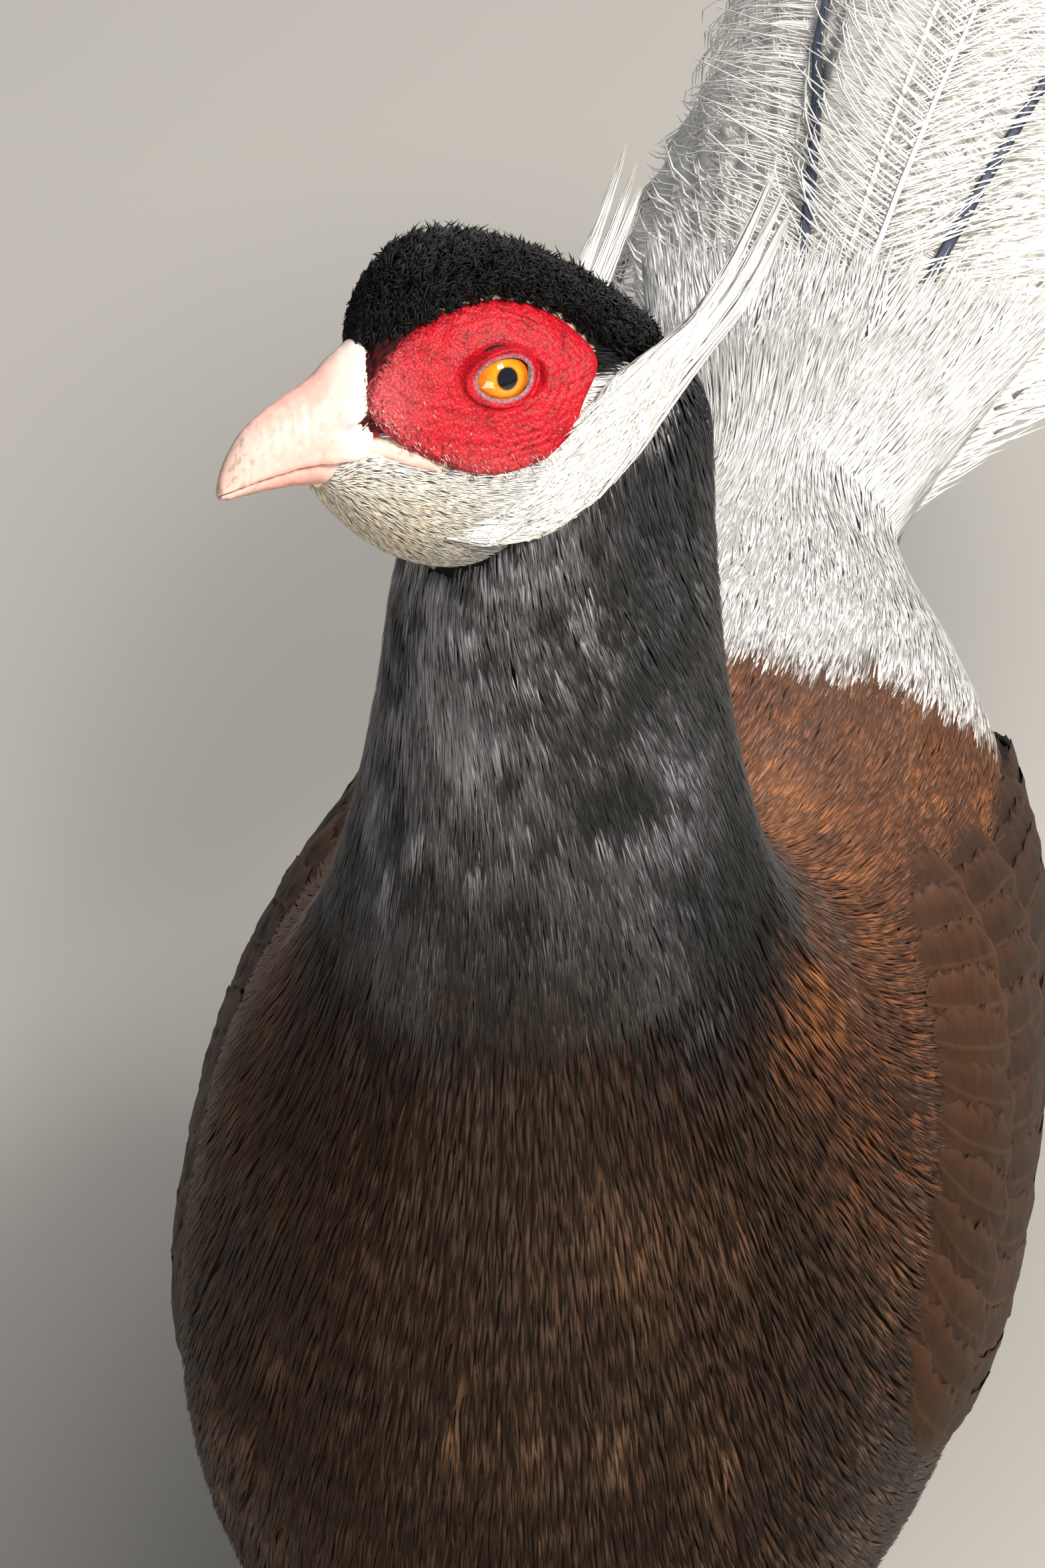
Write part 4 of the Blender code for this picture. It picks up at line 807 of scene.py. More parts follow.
def makeSkin():
    parts = [gridMesh(lambda u, v, lift: bodyAt(u, v, -np.interp(u, *skinSpec["trunk"])), (0.0, 14.0), 72, 110),
             gridMesh(headAt, (0.0, 9.0), 48, 60, -skinSpec["head"]),
             gridMesh(crownAt, (0.6, 8.8), 40, 50, -skinSpec["crown"])]
    parts += [gridMesh(thighAt(side), (0.0, 5.0), 32, 40, -skinSpec["thigh"]) for side, _ in sides]
    skin = defaultdict(list)
    for part in parts:
        addPart(skin, *part)
    piece = joinCoat("birdSkin", skin, looks["skin"][1])
    mesh = remeshed(piece, skinSpec["voxel"], skinSpec["smoothing"])
    spots = np.zeros(len(mesh.vertices) * 3, np.float32)
    mesh.vertices.foreach_get("co", spots)
    spots = spots.reshape(-1, 3).astype(float)
    # each place takes the colour of the nearest place on the trunk's table
    u, v = (grid.ravel() for grid in np.meshgrid(np.linspace(0, 14, 141), circle(72)))
    nearest = nearestOf(bodyAt(u, v), spots)
    colour = bodyMarks(spots, u[nearest], v[nearest])[0] * 0.9
    inHead = toHead(spots)
    x, y, z = inHead.T
    pale = (np.abs(y) < skinSpec["halfHead"]) & (z > whiteLine(x) + 1.5) & (z < 40) & (x > -40)
    pale &= (spots[:, 2] > skinSpec["lowest"]) & (np.abs(y) > napeLine(x))
    colour[pale] = palette["cream"] * 0.95
    colour[pale & (x > 13) & (z > -12.5)] = palette["lore"]
    ridge = np.minimum(np.interp(x, *skinSpec["darkRidge"]), blackLine(x))
    colour[pale & (z > ridge) & outsideFace(inHead)] = palette["black"]
    paintMesh(mesh, colour)
    mount(piece, looks["skin"][0], "neck", "torso", "rump", "head", "crown", "thigh_left", "thigh_right")


makeSkin()


# Neck, breast, back, belly and rump

bodyTufts = {"thickness": 0.00013, "rise": 0.0004, "depth": 0.0032, "spread": 0.05, "curl": 0.03, "clumpPull": 0.08}
frontHalf, backHalf = (math.pi * 0.42, math.pi * 1.58), (-math.pi * 0.42, math.pi * 0.42)
# piece: its look, the side of the rump's parting it keeps to, the length of its tufts at the first and
# last station, and what else they are given
bodyCoats = {
    "neckCoatFront": ("neckPlume", None, (0.0100, 0.0165), {
        "uRange": (0.15, 4.2), "vRange": frontHalf, "count": 16800, "halfWidth": 0.00036, "depth": 0.0024,
        "clump": 0.006, "ruffle": 0.34, "seed": 31}),
    "neckCoatBack": ("neckPlume", None, (0.0100, 0.0165), {
        "uRange": (0.15, 5.7), "vRange": backHalf, "count": 8600, "halfWidth": 0.00046, "depth": 0.0024,
        "clump": 0.007, "ruffle": 0.30, "seed": 32}),
    "breastCoat": ("brownPlume", None, (0.0150, 0.0200), {
        "uRange": (3.5, 9.3), "vRange": frontHalf, "count": 19800, "halfWidth": 0.00055, "clump": 0.010,
        "ruffle": 0.24, "seed": 33}),
    "mantleCoat": ("brownPlume", "brown", (0.0160, 0.0240), {
        "uRange": (5.2, 12.6), "vRange": (-math.pi * 0.47, math.pi * 0.47), "count": 13000, "halfWidth": 0.00060,
        "clump": 0.012, "ruffle": 0.20, "seed": 34}),
    "bellyCoat": ("brownPlume", "brown", (0.022, 0.028), {
        "uRange": (9.0, 13.9), "vRange": (math.pi * 0.45, math.pi * 1.55), "count": 5200, "halfWidth": 0.0008,
        "depth": 0.0034, "spread": 0.16, "clump": 0.012, "clumpPull": 0.4, "ruffle": 0.20, "seed": 35}),
    "rumpCoat": ("whitePlume", "white", (0.026, 0.040), {
        "uRange": (6.6, 14.2), "vRange": (-math.pi, math.pi), "count": 14000, "halfWidth": 0.00045,
        "depth": 0.0034, "clump": 0.014, "clumpPull": 0.10, "ruffle": 0.02, "seed": 36}),
}


def underWing(place, angle, spare=5):
    # whether a place lies under a folded wing, at least spare degrees from its edges
    degrees = np.abs(np.degrees((angle + math.pi) % twoPi - math.pi))
    top, low = wingLimits(place)
    return (place > 7.0) & (place < 12.5) & (degrees > top + spare) & (degrees < low - spare)


def headReach(spots, spare):
    # under 1 for places in the head that lie deeper than spare mm in it
    x, y, z = np.moveaxis(spots, -1, 0)
    top, low, half = headSection(x)
    return (np.abs(y / np.maximum(half - spare, 1)) ** ovalPower
            + np.abs((z - (top + low) / 2) / np.maximum((top - low) / 2 - spare, 1)) ** ovalPower)


def insideHead(points):
    spots = toHead(points)
    return (headReach(spots, 2.8) < 1) & (spots[..., 0] > -37) & (spots[..., 0] < 32)


for name, (look, only, reach, tufts) in bodyCoats.items():
    def density(u, v):
        spots = trunkAt(u, v)
        chance = np.where(underWing(u, v), 0.05, 1.0) * ~insideHead(spots)
        behind = behindRump(spots)
        return chance * {"white": behind > -0.004, "brown": behind < 0.006, None: True}[only]

    coat = defaultdict(list)
    layTufts(coat, trunkAt, paintBody, lambda u, v: np.interp(u, tufts["uRange"], reach), density=density,
             **{**bodyTufts, **tufts})
    finishCoat(name, coat, look)

thighTufts = {"count": 1800, "uRange": (1.2, 4.95), "vRange": (0.0, twoPi), "length": 0.018, "halfWidth": 0.0006,
              "depth": 0.0032, "clump": 0.009, "curl": 0.08}


def paintThigh(centres, tone, shares, place, angle):
    # the colours of the belly's side
    return paintBody(centres, tone, shares, 0 * place + 8.8, 0 * angle + 2.4)


coat = defaultdict(list)
for side, _ in sides:
    layTufts(coat, thighAt(side), paintThigh, seed=41 + side, **thighTufts)
finishCoat("thighCoat", coat, "brownPlume")


# Head: cap of curled velvet, white plush, stubble before the eye

allRound = (-math.pi, math.pi)
velvetTufts = {"count": 9500, "uRange": (0.05, 9.0), "vRange": allRound, "seed": 51, "length": 0.0034,
               "halfWidth": 0.00027, "thickness": 0.0003, "depth": 0.0034, "rings": 4, "spread": 1.3, "stand": 1.15,
               "curl": 0.6, "clump": 0.0021, "clumpPull": 0.5}
plushTufts = {"count": 18500, "uRange": (0.6, 9.0), "vRange": allRound, "seed": 52, "halfWidth": 0.00018,
              "thickness": 0.00012, "depth": 0.0012, "rise": 0.0003, "spread": 0.10, "curl": 0.08, "clump": 0.0028,
              "clumpPull": 0.12}
# z at x in the head of the plush's upper edge, and its length at x
plushSpec = {"ridge": ((-42, -26, -6, 12, 24), (-1, 1, 11.5, 8, 4)), "throat": 0.009,
             "lengths": ((-30, 0, 18, 30), (0.0075, 0.0055, 0.0038, 0.0020))}


def crownDensity(u, v):
    spots = ovalAt(crownRows, u, v)
    return (headReach(spots, -0.8) > 1) * outsideFace(spots, -0.5)


def velvetRise(u, v):
    # the pile stands in small lumps and lies flat towards the bill
    return 0.0005 + 0.0011 * softNoise(ovalAt(crownRows, u, v), 4.5, 53) - 0.0022 * smoothStep(3.4, 1.2, u)


def velvetAway(u, v):
    # before the eyes the pile points forwards
    return math.pi * (1 - smoothStep(0.8, 2.6, u))


def onGape(spots, spare):
    # whether places in the head lie on the fleshy strip at the corner of the mouth
    x, strip = spots[:, 0], gapeRows[5:0:-1]
    level, half = (np.interp(x, strip[:, 0], strip[:, k]) for k in (2, 3))
    return (np.abs(spots[:, 2] - level) < half + spare) & (x > 12)


def plushDensity(u, v):
    spots = ovalAt(headRows, u, v)
    below = spots[:, 2] < np.interp(spots[:, 0], *plushSpec["ridge"]) + 1.5
    shown = (outsideFace(spots, -0.4) | (np.abs(v) > 2.3)) & below & (spots[:, 0] < 31)
    return 1.0 * (shown & ~onGape(spots, 0.2))


def plushLength(u, v):
    spots = ovalAt(headRows, u, v)
    dark = spots[:, 2] < whiteLine(spots[:, 0])
    return np.where(dark, plushSpec["throat"], np.interp(spots[:, 0], *plushSpec["lengths"]))


coat = defaultdict(list)
layTufts(coat, crownAt, paintVelvet, density=crownDensity, rise=velvetRise, away=velvetAway, **velvetTufts)
finishCoat("crownVelvet", coat, "velvet")
coat = defaultdict(list)
layTufts(coat, headAt, paintHead, plushLength, density=plushDensity, **plushTufts)
finishCoat("facePlush", coat, "plush")


# Ear tufts: a band of white plumage under the face that runs out in loose silky locks

bandTufts = {"count": 2300, "uRange": (0.0, 4.3), "vRange": (-0.6, math.pi + 0.6), "length": 0.011,
             "halfWidth": 0.00026, "thickness": 0.0003, "depth": 0.0016, "rise": 0.0004, "spread": 0.08, "curl": 0.1,
             "clump": 0.0035, "clumpPull": 0.35}
# place in the band and x, y, z of each lock's end
tuftLocks = np.array([
    (-0.9, -44.2, 29, 25.5), (-0.5, -48.5, 30, 33), (0.0, -51.8, 31.5, 43.5), (0.45, -54.4, 31.5, 39.8),
    (0.9, -55.6, 31.5, 35),
])
# places in tuftRows: where strands start and end, where they gather into locks and where they leave the band
silkSpec = {"count": 460, "rings": 8, "half": 0.00026, "thick": 0.00028, "start": (0.8, 3.9), "end": 6.0,
            "endSpread": 0.45, "gather": (1.6, 4.2), "leave": (2.3, 3.7)}


def bandFrame(place):
    rows = readRows(tuftRows, place)
    ahead = readRows(tuftRows, place + 0.1) - readRows(tuftRows, place - 0.1)
    over = np.stack([-ahead[..., 2], 0 * ahead[..., 0], ahead[..., 0]], axis=-1)
    return rows, unit(over)


def bandAt(side):
    def surface(place, angle, lift=0.0):
        rows, over = bandFrame(place)
        fade = 1 - np.clip((place - 3.0) / 1.4, 0, 1.3) * 0.7
        half, thick = rows[..., 3] * fade + lift / mm, rows[..., 4] * fade + lift / mm
        points = rows[..., :3] + over * (half * np.cos(angle))[..., None]
        points[..., 1] += thick * np.sin(angle)
        return fromHead(mirrored(points, side))
    return surface


def paintBand(centres, tone, shares, place, angle):
    light = np.clip(palette["white"] * (1 + 0.04 * tone[:, None]), 0, 0.96)
    return light[:, None] * (0.88 + 0.12 * shares)[None, :, None]


coat = defaultdict(list)
for side, _ in sides:
    surface = bandAt(side)
    layTufts(coat, surface, paintBand, seed=61 + side, **bandTufts,
             density=lambda u, v: 1.0 * outsideFace(mirrored(toHead(surface(u, v)), side), 0.3))
    dice = np.random.default_rng(71 + side)
    count = silkSpec["count"]
    start = dice.uniform(*silkSpec["start"], count)
    lock = dice.integers(0, len(tuftLocks), count)
    offset, aside = dice.uniform(-1, 1, count), dice.uniform(-1, 1, count)
    end = silkSpec["end"] - np.abs(dice.normal(0, silkSpec["endSpread"], count))
    shares = np.linspace(0, 1, silkSpec["rings"])
    place = start[:, None] + (end - start)[:, None] * shares
    rows, over = bandFrame(place)
    gather = smoothStep(*silkSpec["gather"], place)
    bandOffset = (offset[:, None] * (1 - gather) + tuftLocks[lock, 0][:, None] * 0.72 * gather)
    spots = rows[..., :3] + over * (rows[..., 3] * bandOffset)[..., None]
    along = np.clip((place - silkSpec["leave"][0]) / silkSpec["leave"][1], 0, 1)
    spots = spots + (tuftLocks[lock, 1:] - tuftRows[-1, :3])[:, None] * (along**1.6)[..., None]
    loose = np.sin(np.pi * along) * 0.9 + 0.3
    spots = spots + over * (offset[:, None] * gather * loose)[..., None]
    stray = dice.normal(0, 0.35, count)[:, None] * along
    spots[..., 1] += rows[..., 4] * aside[:, None] * (0.95 - 0.5 * gather) + stray
    centres = fromHead(mirrored(spots, side))
    outward = np.broadcast_to(unit(headTurn @ np.array((0.0, side, 0.0))), centres.shape)
    width = silkSpec["half"] * np.interp(shares, (0, 0.2, 0.7, 1), (0.5, 1, 0.8, 0.1))
    tone = dice.normal(0, 1, count)
    colours = np.clip(palette["white"] * (1 + 0.05 * tone[:, None, None]) + 0 * centres, 0, 0.95)
    flat = np.stack([start / 6, (offset + 1) / 2], axis=-1)
    addStrands(coat, centres, outward, width, silkSpec["thick"], colours, np.clip(flat, 0, 1))
finishCoat("earTufts", coat, "plush", "ear_tuft_left", "ear_tuft_right")


# Feathers: closed vanes with their barbs drawn on, and loose barbs laid one by one

def addVane(coat, spine, framing, length, halfWidth, paint, cell, dice, rows=24, thick=0.0003, shaft=0.0005,
            camber=0.09, slant=0.7, ragged=0.06):
    # spine(share) gives the shaft, framing(share) its ahead, across and over directions. The rows
    # slant forwards as the barbs do
    columns = np.array([-1, -0.68, -0.36, -0.10, 0, 0.10, 0.36, 0.68, 1.0])
    along = np.linspace(0, 1, rows)
    half = halfWidth(along)
    lean = (half * slant / length)[:, None] * np.clip((1 - along) / 0.2, 0, 1)[:, None]
    place = np.clip(along[:, None] + np.abs(columns) * lean, 0, 1)
    wide = half[:, None] * columns * (1 + dice.normal(0, ragged, (rows, len(columns))) * (np.abs(columns) > 0.9))
    _, across, over = framing(place)
    fall = camber * half[:, None] * columns**2 - shaft * (columns == 0) * (1 - 0.8 * along[:, None])
    fall = fall + dice.normal(0, 0.02, (rows, len(columns))) * half[:, None] * (columns != 0)
    top = spine(place) + across * wide[..., None] - over * fall[..., None]
    points = np.concatenate([top, (top - over * thick)[:, -2:0:-1]], axis=1)
    every = np.concatenate([columns, columns[-2:0:-1]])
    size = len(every)
    grid = np.broadcast_to(along[:, None], (rows, size))
    colours = paint(grid, np.broadcast_to(every, (rows, size)), dice.normal())
    reach = np.concatenate([np.abs(wide), np.abs(wide)[:, -2:0:-1]], axis=1)
    fibres = np.stack([grid * length / mm, reach / mm, np.full((rows, size), dice.uniform(0, 900))], axis=-1)
    patches = np.array(cell) + np.stack([(every[None] + 1) / 2 * 0.045 + 0 * grid, grid * 0.085], axis=-1)
    lies = np.concatenate([over, over[:, -2:0:-1]], axis=1)
    points, colours, patches, fibres, lies = (closeEnds(layer.reshape(-1, layer.shape[-1]), size)
                                              for layer in (points, colours, patches, fibres, lies))
    addPart(coat, points, turnedOut(points, loopTriangles(rows, size)), colours=colours, patches=patches,
            fibres=fibres, lies=lies)


def addBarbs(coat, spine, framing, length, halfWidth, barbs, barbHalf, paint, root, dice, forward=0.9, loose=0.0,
             droop=0.0, rings=4, start=0.04, end=0.985, inner=0.0, thick=0.00022, camber=0.04):
    # loose barbs on both sides of a shaft, from the inner share of the width outwards
    for way in (1, -1):
        at = start + (end - start) * (np.arange(barbs) + 0.5) / barbs
        at = at + dice.normal(0, 0.3 / barbs, barbs)
        width = halfWidth(at) * (1 + dice.normal(0, 0.05 + 0.2 * loose, barbs))
        reach = width * forward / length * (0.5 + 0.5 * np.clip((1 - at) / 0.15, 0, 1)) + 0.01
        shares = np.linspace(0, 1, rings)
        place = np.clip(at[:, None] + reach[:, None] * shares ** 1.25, 0, 1.0)
        ahead, across, over = framing(place)
        sway = dice.normal(0, 0.05 + loose, barbs)[:, None] * shares**1.5
        out = width[:, None] * (inner + (1 - inner) * np.sin(shares * (math.pi / 2) * 0.94))
        centres = spine(place) + across * (way * out)[..., None] + ahead * (width[:, None] * sway)[..., None]
        centres = centres + over * (camber * width[:, None] * (shares - shares**2) * 4 - out * 0.06
                                    + width[:, None] * sway * 0.5)[..., None]
        centres[..., 2] -= droop * width[:, None] * shares**2
        half = barbHalf * np.interp(shares, (0, 0.3, 0.8, 1), (1.0, 1.15, 0.8, 0.15))
        colours = paint(place, np.broadcast_to(shares, place.shape), dice.normal(0, 1, barbs)[:, None, None])
        flat = np.stack([np.clip(root[0] + (at - 0.5) * 0.05, 0, 1), np.full(barbs, root[1] + way * 0.004)], axis=-1)
        addStrands(coat, centres, over, half, thick, colours, np.clip(flat, 0, 1))


def addShaft(coat, spine, framing, width, colour, root, raised=0.0004, end=0.985):
    along = np.linspace(0, end, 16)[None]
    over = framing(along)[2]
    half = width * np.interp(along, (0, 0.5, 1), (1.0, 0.7, 0.2))
    addStrands(coat, spine(along) + over * raised, over, half, half * 1.2, np.broadcast_to(colour, (1, 16, 3)),
               np.array([root]))


def outline(half, shares, values):
    # half width of a feather along it
    return lambda s: half * np.interp(s, shares, values)


def between(ends, share):
    return ends[0] + (ends[1] - ends[0]) * share


def patchCell(number):
    # the corner of a feather's own patch of the texture square, twenty to a row
    return 0.05 * (number % 20) + 0.002, 0.09 * (number // 20) + 0.005


# tiers from the rear of the wing forwards, each over the one before: stations of root and tip at the
# row's upper and lower end, feathers in a row, half width, lift in mm at root and tip, colours
wingTiers = (
    {"roots": (10.9, 11.3), "tips": (13.2, 13.95), "count": 10, "half": 0.0085, "lift": (-0.8, 0.2), "rows": 30,
     "base": "#1e1510", "edge": "#3a2b1e"},
    {"roots": (9.6, 9.9), "tips": (12.4, 12.5), "count": 12, "half": 0.0092, "lift": (-0.9, 0.9), "rows": 30,
     "base": "#21130c", "edge": "#332013"},
    {"roots": (8.7, 8.7), "tips": (10.7, 10.5), "count": 13, "half": 0.0094, "lift": (-1.0, 1.2), "rows": 22,
     "base": "#25160c", "edge": "#382315"},
    {"roots": (7.8, 7.7), "tips": (9.3, 9.15), "count": 13, "half": 0.0096, "lift": (-1.2, 1.3), "rows": 22,
     "base": "#2a190e", "edge": "#3e2617"},
    {"roots": (7.2, 7.0), "tips": (8.3, 8.1), "count": 12, "half": 0.0096, "lift": (-1.6, 1.2), "rows": 22,
     "base": "#2e1c0f", "edge": "#442a19"},
)
wingProfile, wingShaft = ((0, 0.15, 0.6, 0.82, 0.93, 1), (0.5, 0.95, 1.0, 0.82, 0.5, 0.06)), toLinear("#3a2516")


def paintWing(base, edge):
    def paint(place, across, tone):
        colour = mixed(base, edge, smoothStep(0.35, 1.0, np.abs(across)) * 0.7)
        colour = mixed(colour, edge, smoothStep(0.86, 1.0, place) * 0.6)
        return np.clip(mixed(colour, wingShaft, np.abs(across) < 0.06) * (1 + 0.10 * tone), 0, 0.9)
    return paint


for side, word in sides:
    coat, surface = defaultdict(list), wingAt(side)
    dice = np.random.default_rng(81 + side)
    for spec in wingTiers:
        for k in range(spec["count"]):
            share = (k + 0.5) / spec["count"]
            rootPlace, tipPlace = (between(spec[key], share) for key in ("roots", "tips"))
            tipPlace += dice.normal(0, 0.04)
            tipShare = min(max(share + dice.normal(0, 0.008), 0.02), 0.98)
            tilt = dice.normal(0, 0.02) + 0.05

            def featherSpine(s):
                s = np.asarray(s, float)
                lift = between(spec["lift"], np.clip(s * 1.6, 0, 1)) * mm
                return surface(between((rootPlace, tipPlace), s), between((share, tipShare), s), lift)

            def featherFrame(s):
                s = np.asarray(s, float)
                ahead = unit(featherSpine(s + 0.02) - featherSpine(s - 0.02))
                place = between((rootPlace, tipPlace), s)
                down = surface(place, share + 0.05 + 0 * s) - surface(place, share - 0.05 + 0 * s)
                down = unit(down - ahead * np.sum(down * ahead, axis=-1, keepdims=True))
                over = np.cross(down, ahead) * side
                return ahead, down - over * tilt, over + down * tilt

            ends = featherSpine(np.array([0.0, 1.0]))
            addVane(coat, featherSpine, featherFrame, float(np.linalg.norm(ends[1] - ends[0])),
                    outline(spec["half"], *wingProfile), paintWing(toLinear(spec["base"]), toLinear(spec["edge"])),
                    patchCell(len(coat["points"])), dice, rows=spec["rows"])
    finishCoat(f"wing{word}Feathers", coat, "wingPlume", f"wing_{word.lower()}")


# Tail: closed outer feathers with frayed edges, and loose middle plumes whose barbs hang

tailSpec = {"pairs": 11, "plumes": 2,
            "web": (0.0150, (0, 0.12, 0.28, 0.46, 0.8, 0.93, 0.98, 1), (0.3, 0.55, 0.9, 1, 0.95, 0.8, 0.5, 0.2)),
            "fringe": (0.0225, (0, 0.12, 0.28, 0.46, 0.8, 0.94, 1), (0.3, 0.6, 0.9, 1, 0.9, 0.65, 0.3)),
            "plume": (0.042, (0, 0.12, 0.45, 0.8, 1), (0.35, 0.7, 1.0, 0.75, 0.25)),
            "webForm": {"rows": 54, "thick": 0.0004, "shaft": 0.0008, "camber": 0.03, "slant": 0.9, "ragged": 0.05},
            "fringeForm": {"barbs": 120, "barbHalf": 0.00030, "forward": 1.2, "loose": 0.10, "inner": 0.5,
                           "camber": 0.03, "rings": 3},
            "plumeForm": {"barbs": 340, "barbHalf": 0.00024, "forward": 1.0, "loose": 0.17, "droop": 0.34, "rings": 6,
                          "camber": 0.10}}
# for each plume: where its shaft runs, in pairs from the middle, at its root and farther out, on the
# left and on the right, and the width of the shaft and how far it stands proud of its barbs
plumeLines = ({1: (4.4, 3.4), -1: (2.0, 4.4), "shaft": (0.0018, 0.0026)},
              {1: (0.2, 0.2), -1: (0.2, 0.2), "shaft": (0.0010, 0.0004)})


def paintTail(place, across, tone):
    colour = mixed(palette["white"] * 0.94, palette["silver"], smoothStep(0.3, 0.75, place) * 0.7)
    dark = smoothStep(0.74, 0.90, place + 0.03 * np.abs(across))
    colour = mixed(colour, mixed(palette["tailBrown"], palette["purple"], 0.6), dark)
    return np.clip(colour * (1 + 0.04 * tone), 0, 0.95)


for side, word in sides:
    mirror = np.array((side, 1, 1))
    dice = np.random.default_rng(91 + side)
    vanes, plumes = defaultdict(list), defaultdict(list)
    for pair in range(tailSpec["pairs"]):
        def vaneSpine(s):
            s = np.asarray(s, float)
            if pair >= tailSpec["plumes"]:
                return turnTail(tailSpine(pair, s) * mirror)
            near, far = plumeLines[pair][side]
            share = np.clip(s / 0.4, 0, 1)[..., None]
            raised = np.array((0, 0, 0.0034 - 0.0026 * pair + 0.0009 * side))
            return turnTail((tailSpine(near, s) * (1 - share) + tailSpine(far, s) * share + raised) * mirror)

        def vaneFrame(s):
            return tuple((d * mirror) @ tailTurn.T for d in tailFrame(pair, np.asarray(s, float)))

        feather = (vaneSpine, vaneFrame, tailRun(pair) * 1.1)
        root = ((pair + 0.5) / tailSpec["pairs"], 0.5)
        along = np.linspace(0, 1, 16)
        dark = smoothStep(0.0, 0.06, along) * (pair == 0) + smoothStep(0.2, 0.6, along) * (pair > 1)
        slate = mixed(palette["silver"], palette["slate"], dark)
        if pair < tailSpec["plumes"]:
            addBarbs(plumes, *feather, outline(*tailSpec["plume"]), paint=paintTail, root=root, dice=dice,
                     **tailSpec["plumeForm"])
            width, proud = plumeLines[pair]["shaft"]
            addShaft(plumes, vaneSpine, vaneFrame, width, slate, root, raised=proud)
        else:
            cell = (0.05 * (pair - tailSpec["plumes"]) + 0.002, 0.905)
            addVane(vanes, *feather, outline(*tailSpec["web"]), paintTail, cell, dice, **tailSpec["webForm"])
            addBarbs(vanes, *feather, outline(*tailSpec["fringe"]), paint=paintTail, root=root, dice=dice,
                     **tailSpec["fringeForm"])
            addShaft(vanes, vaneSpine, vaneFrame, 0.0010, slate, root)
    finishCoat(f"tail{word}Vanes", vanes, "tailPlume", *(("tail",) if side == 1 else ()))
    finishCoat(f"tail{word}Plumes", plumes, "tailPlume")

# white coverts over the tail's root: a sheath that widens and flattens along it, in mm and metres
sheathSpec = {"wide": (27.5, 22.0, 1.2), "deep": (24.0, 17.0, 4.5), "y": (0.188, 0.074), "z": (0.269, 0.033)}
covertTufts = {"count": 6000, "uRange": (0.0, 1.0), "vRange": allRound, "seed": 95, "length": 0.031,
               "halfWidth": 0.0005, "thickness": 0.00013, "depth": 0.003, "rise": 0.0006, "spread": 0.06,
               "curl": 0.04, "clump": 0.014, "clumpPull": 0.15}


def sheathAt(place, angle, lift=0.0):
    stop = np.asarray(place, float)
    wide, deep, y, z = (sheathSpec[key] for key in ("wide", "deep", "y", "z"))
    across = (wide[0] + wide[1] * np.maximum(stop, 0) ** wide[2]) * mm + lift
    high = np.maximum(deep[0] - deep[1] * stop, deep[2]) * mm + lift
    return turnTail(np.stack([across * np.sin(angle), y[0] + y[1] * stop + 0 * angle,
                              z[0] + z[1] * stop + high * np.cos(angle)], axis=-1))


coat = defaultdict(list)
layTufts(coat, sheathAt, paintWhite, **covertTufts)
finishCoat("tailCoverts", coat, "whitePlume")


# Bare red skin of the face with the lids: moist skin with small knobs, 0.6 mm wide, raised by a bump. Their colour is
# painted lighter at each knob's middle and darker at the seams between them: painted highlight and painted shade

faceMaterial, tree, shader = newMaterial("barePapillateFaceSkin", {
    "Roughness": 0.5, "Sheen Weight": 0.05, "Sheen Roughness": 0.4, "Sheen Tint": (*toLinear("#ff8c96"), 1),
    "Subsurface Weight": 0.10, "Subsurface Radius": (0.003, 0.0008, 0.0006), "Specular IOR Level": 0.22})
knobs = rangeNode(tree, textureNode(tree, "ShaderNodeTexVoronoi", 0.6)["Distance"], (0.0, 0.75), 1.0, 0.0)
# the colour runs from half at the seams to a little over full at each knob's middle: painted shade and painted
# highlight
tintNode(tree, shader, attributeNode(tree, "coatColour")["Color"], rangeNode(tree, knobs, (0.0, 1.0), 0.5, 1.15))
bumpNode(tree, shader, knobs, 0.5, 0.0002)

# sizes in mm. The skin runs in rings from the outline to the lids: shares of the outline with the
# height over the head, then sizes of the lids' oval with the height over the eye
faceSpec = {"around": 220, "knob": 0.14, "wrinkle": 0.06, "eyeRadius": 8.5, "eyeY": 11.6, "lid": (6.2, 4.35),
            "slant": math.radians(12), "pocket": 6.4, "back": 2.2,
            "outer": ((1.0, 0.1), (0.95, 1.0), (0.80, 1.15), (0.66, 1.05)),
            "lids": ((1.50, None), (1.30, 1.85), (1.14, 1.5), (1.0, 1.1), (0.93, 0.65))}
# pocket is a near black painted shade for the recess behind the lids
faceColours = linearColours({
    "scarlet": "#bd0c20", "deep": "#7d0a18", "pale": "#cf6a70", "rim": "#c92436", "speck": "#3c0a10",
    "lid": "#8f7787", "pocket": "#2b1a1e"})


def lidPlace(turn, scale):
    wide, high = faceSpec["lid"][0] * scale * np.cos(turn), faceSpec["lid"][1] * scale * np.sin(turn)
    slant = faceSpec["slant"]
    return wide * math.cos(slant) + high * math.sin(slant), -wide * math.sin(slant) + high * math.cos(slant)


def onEye(x, z, spare):
    return faceSpec["eyeY"] + np.sqrt(np.maximum((faceSpec["eyeRadius"] + spare) ** 2 - x * x - z * z, 0.01))


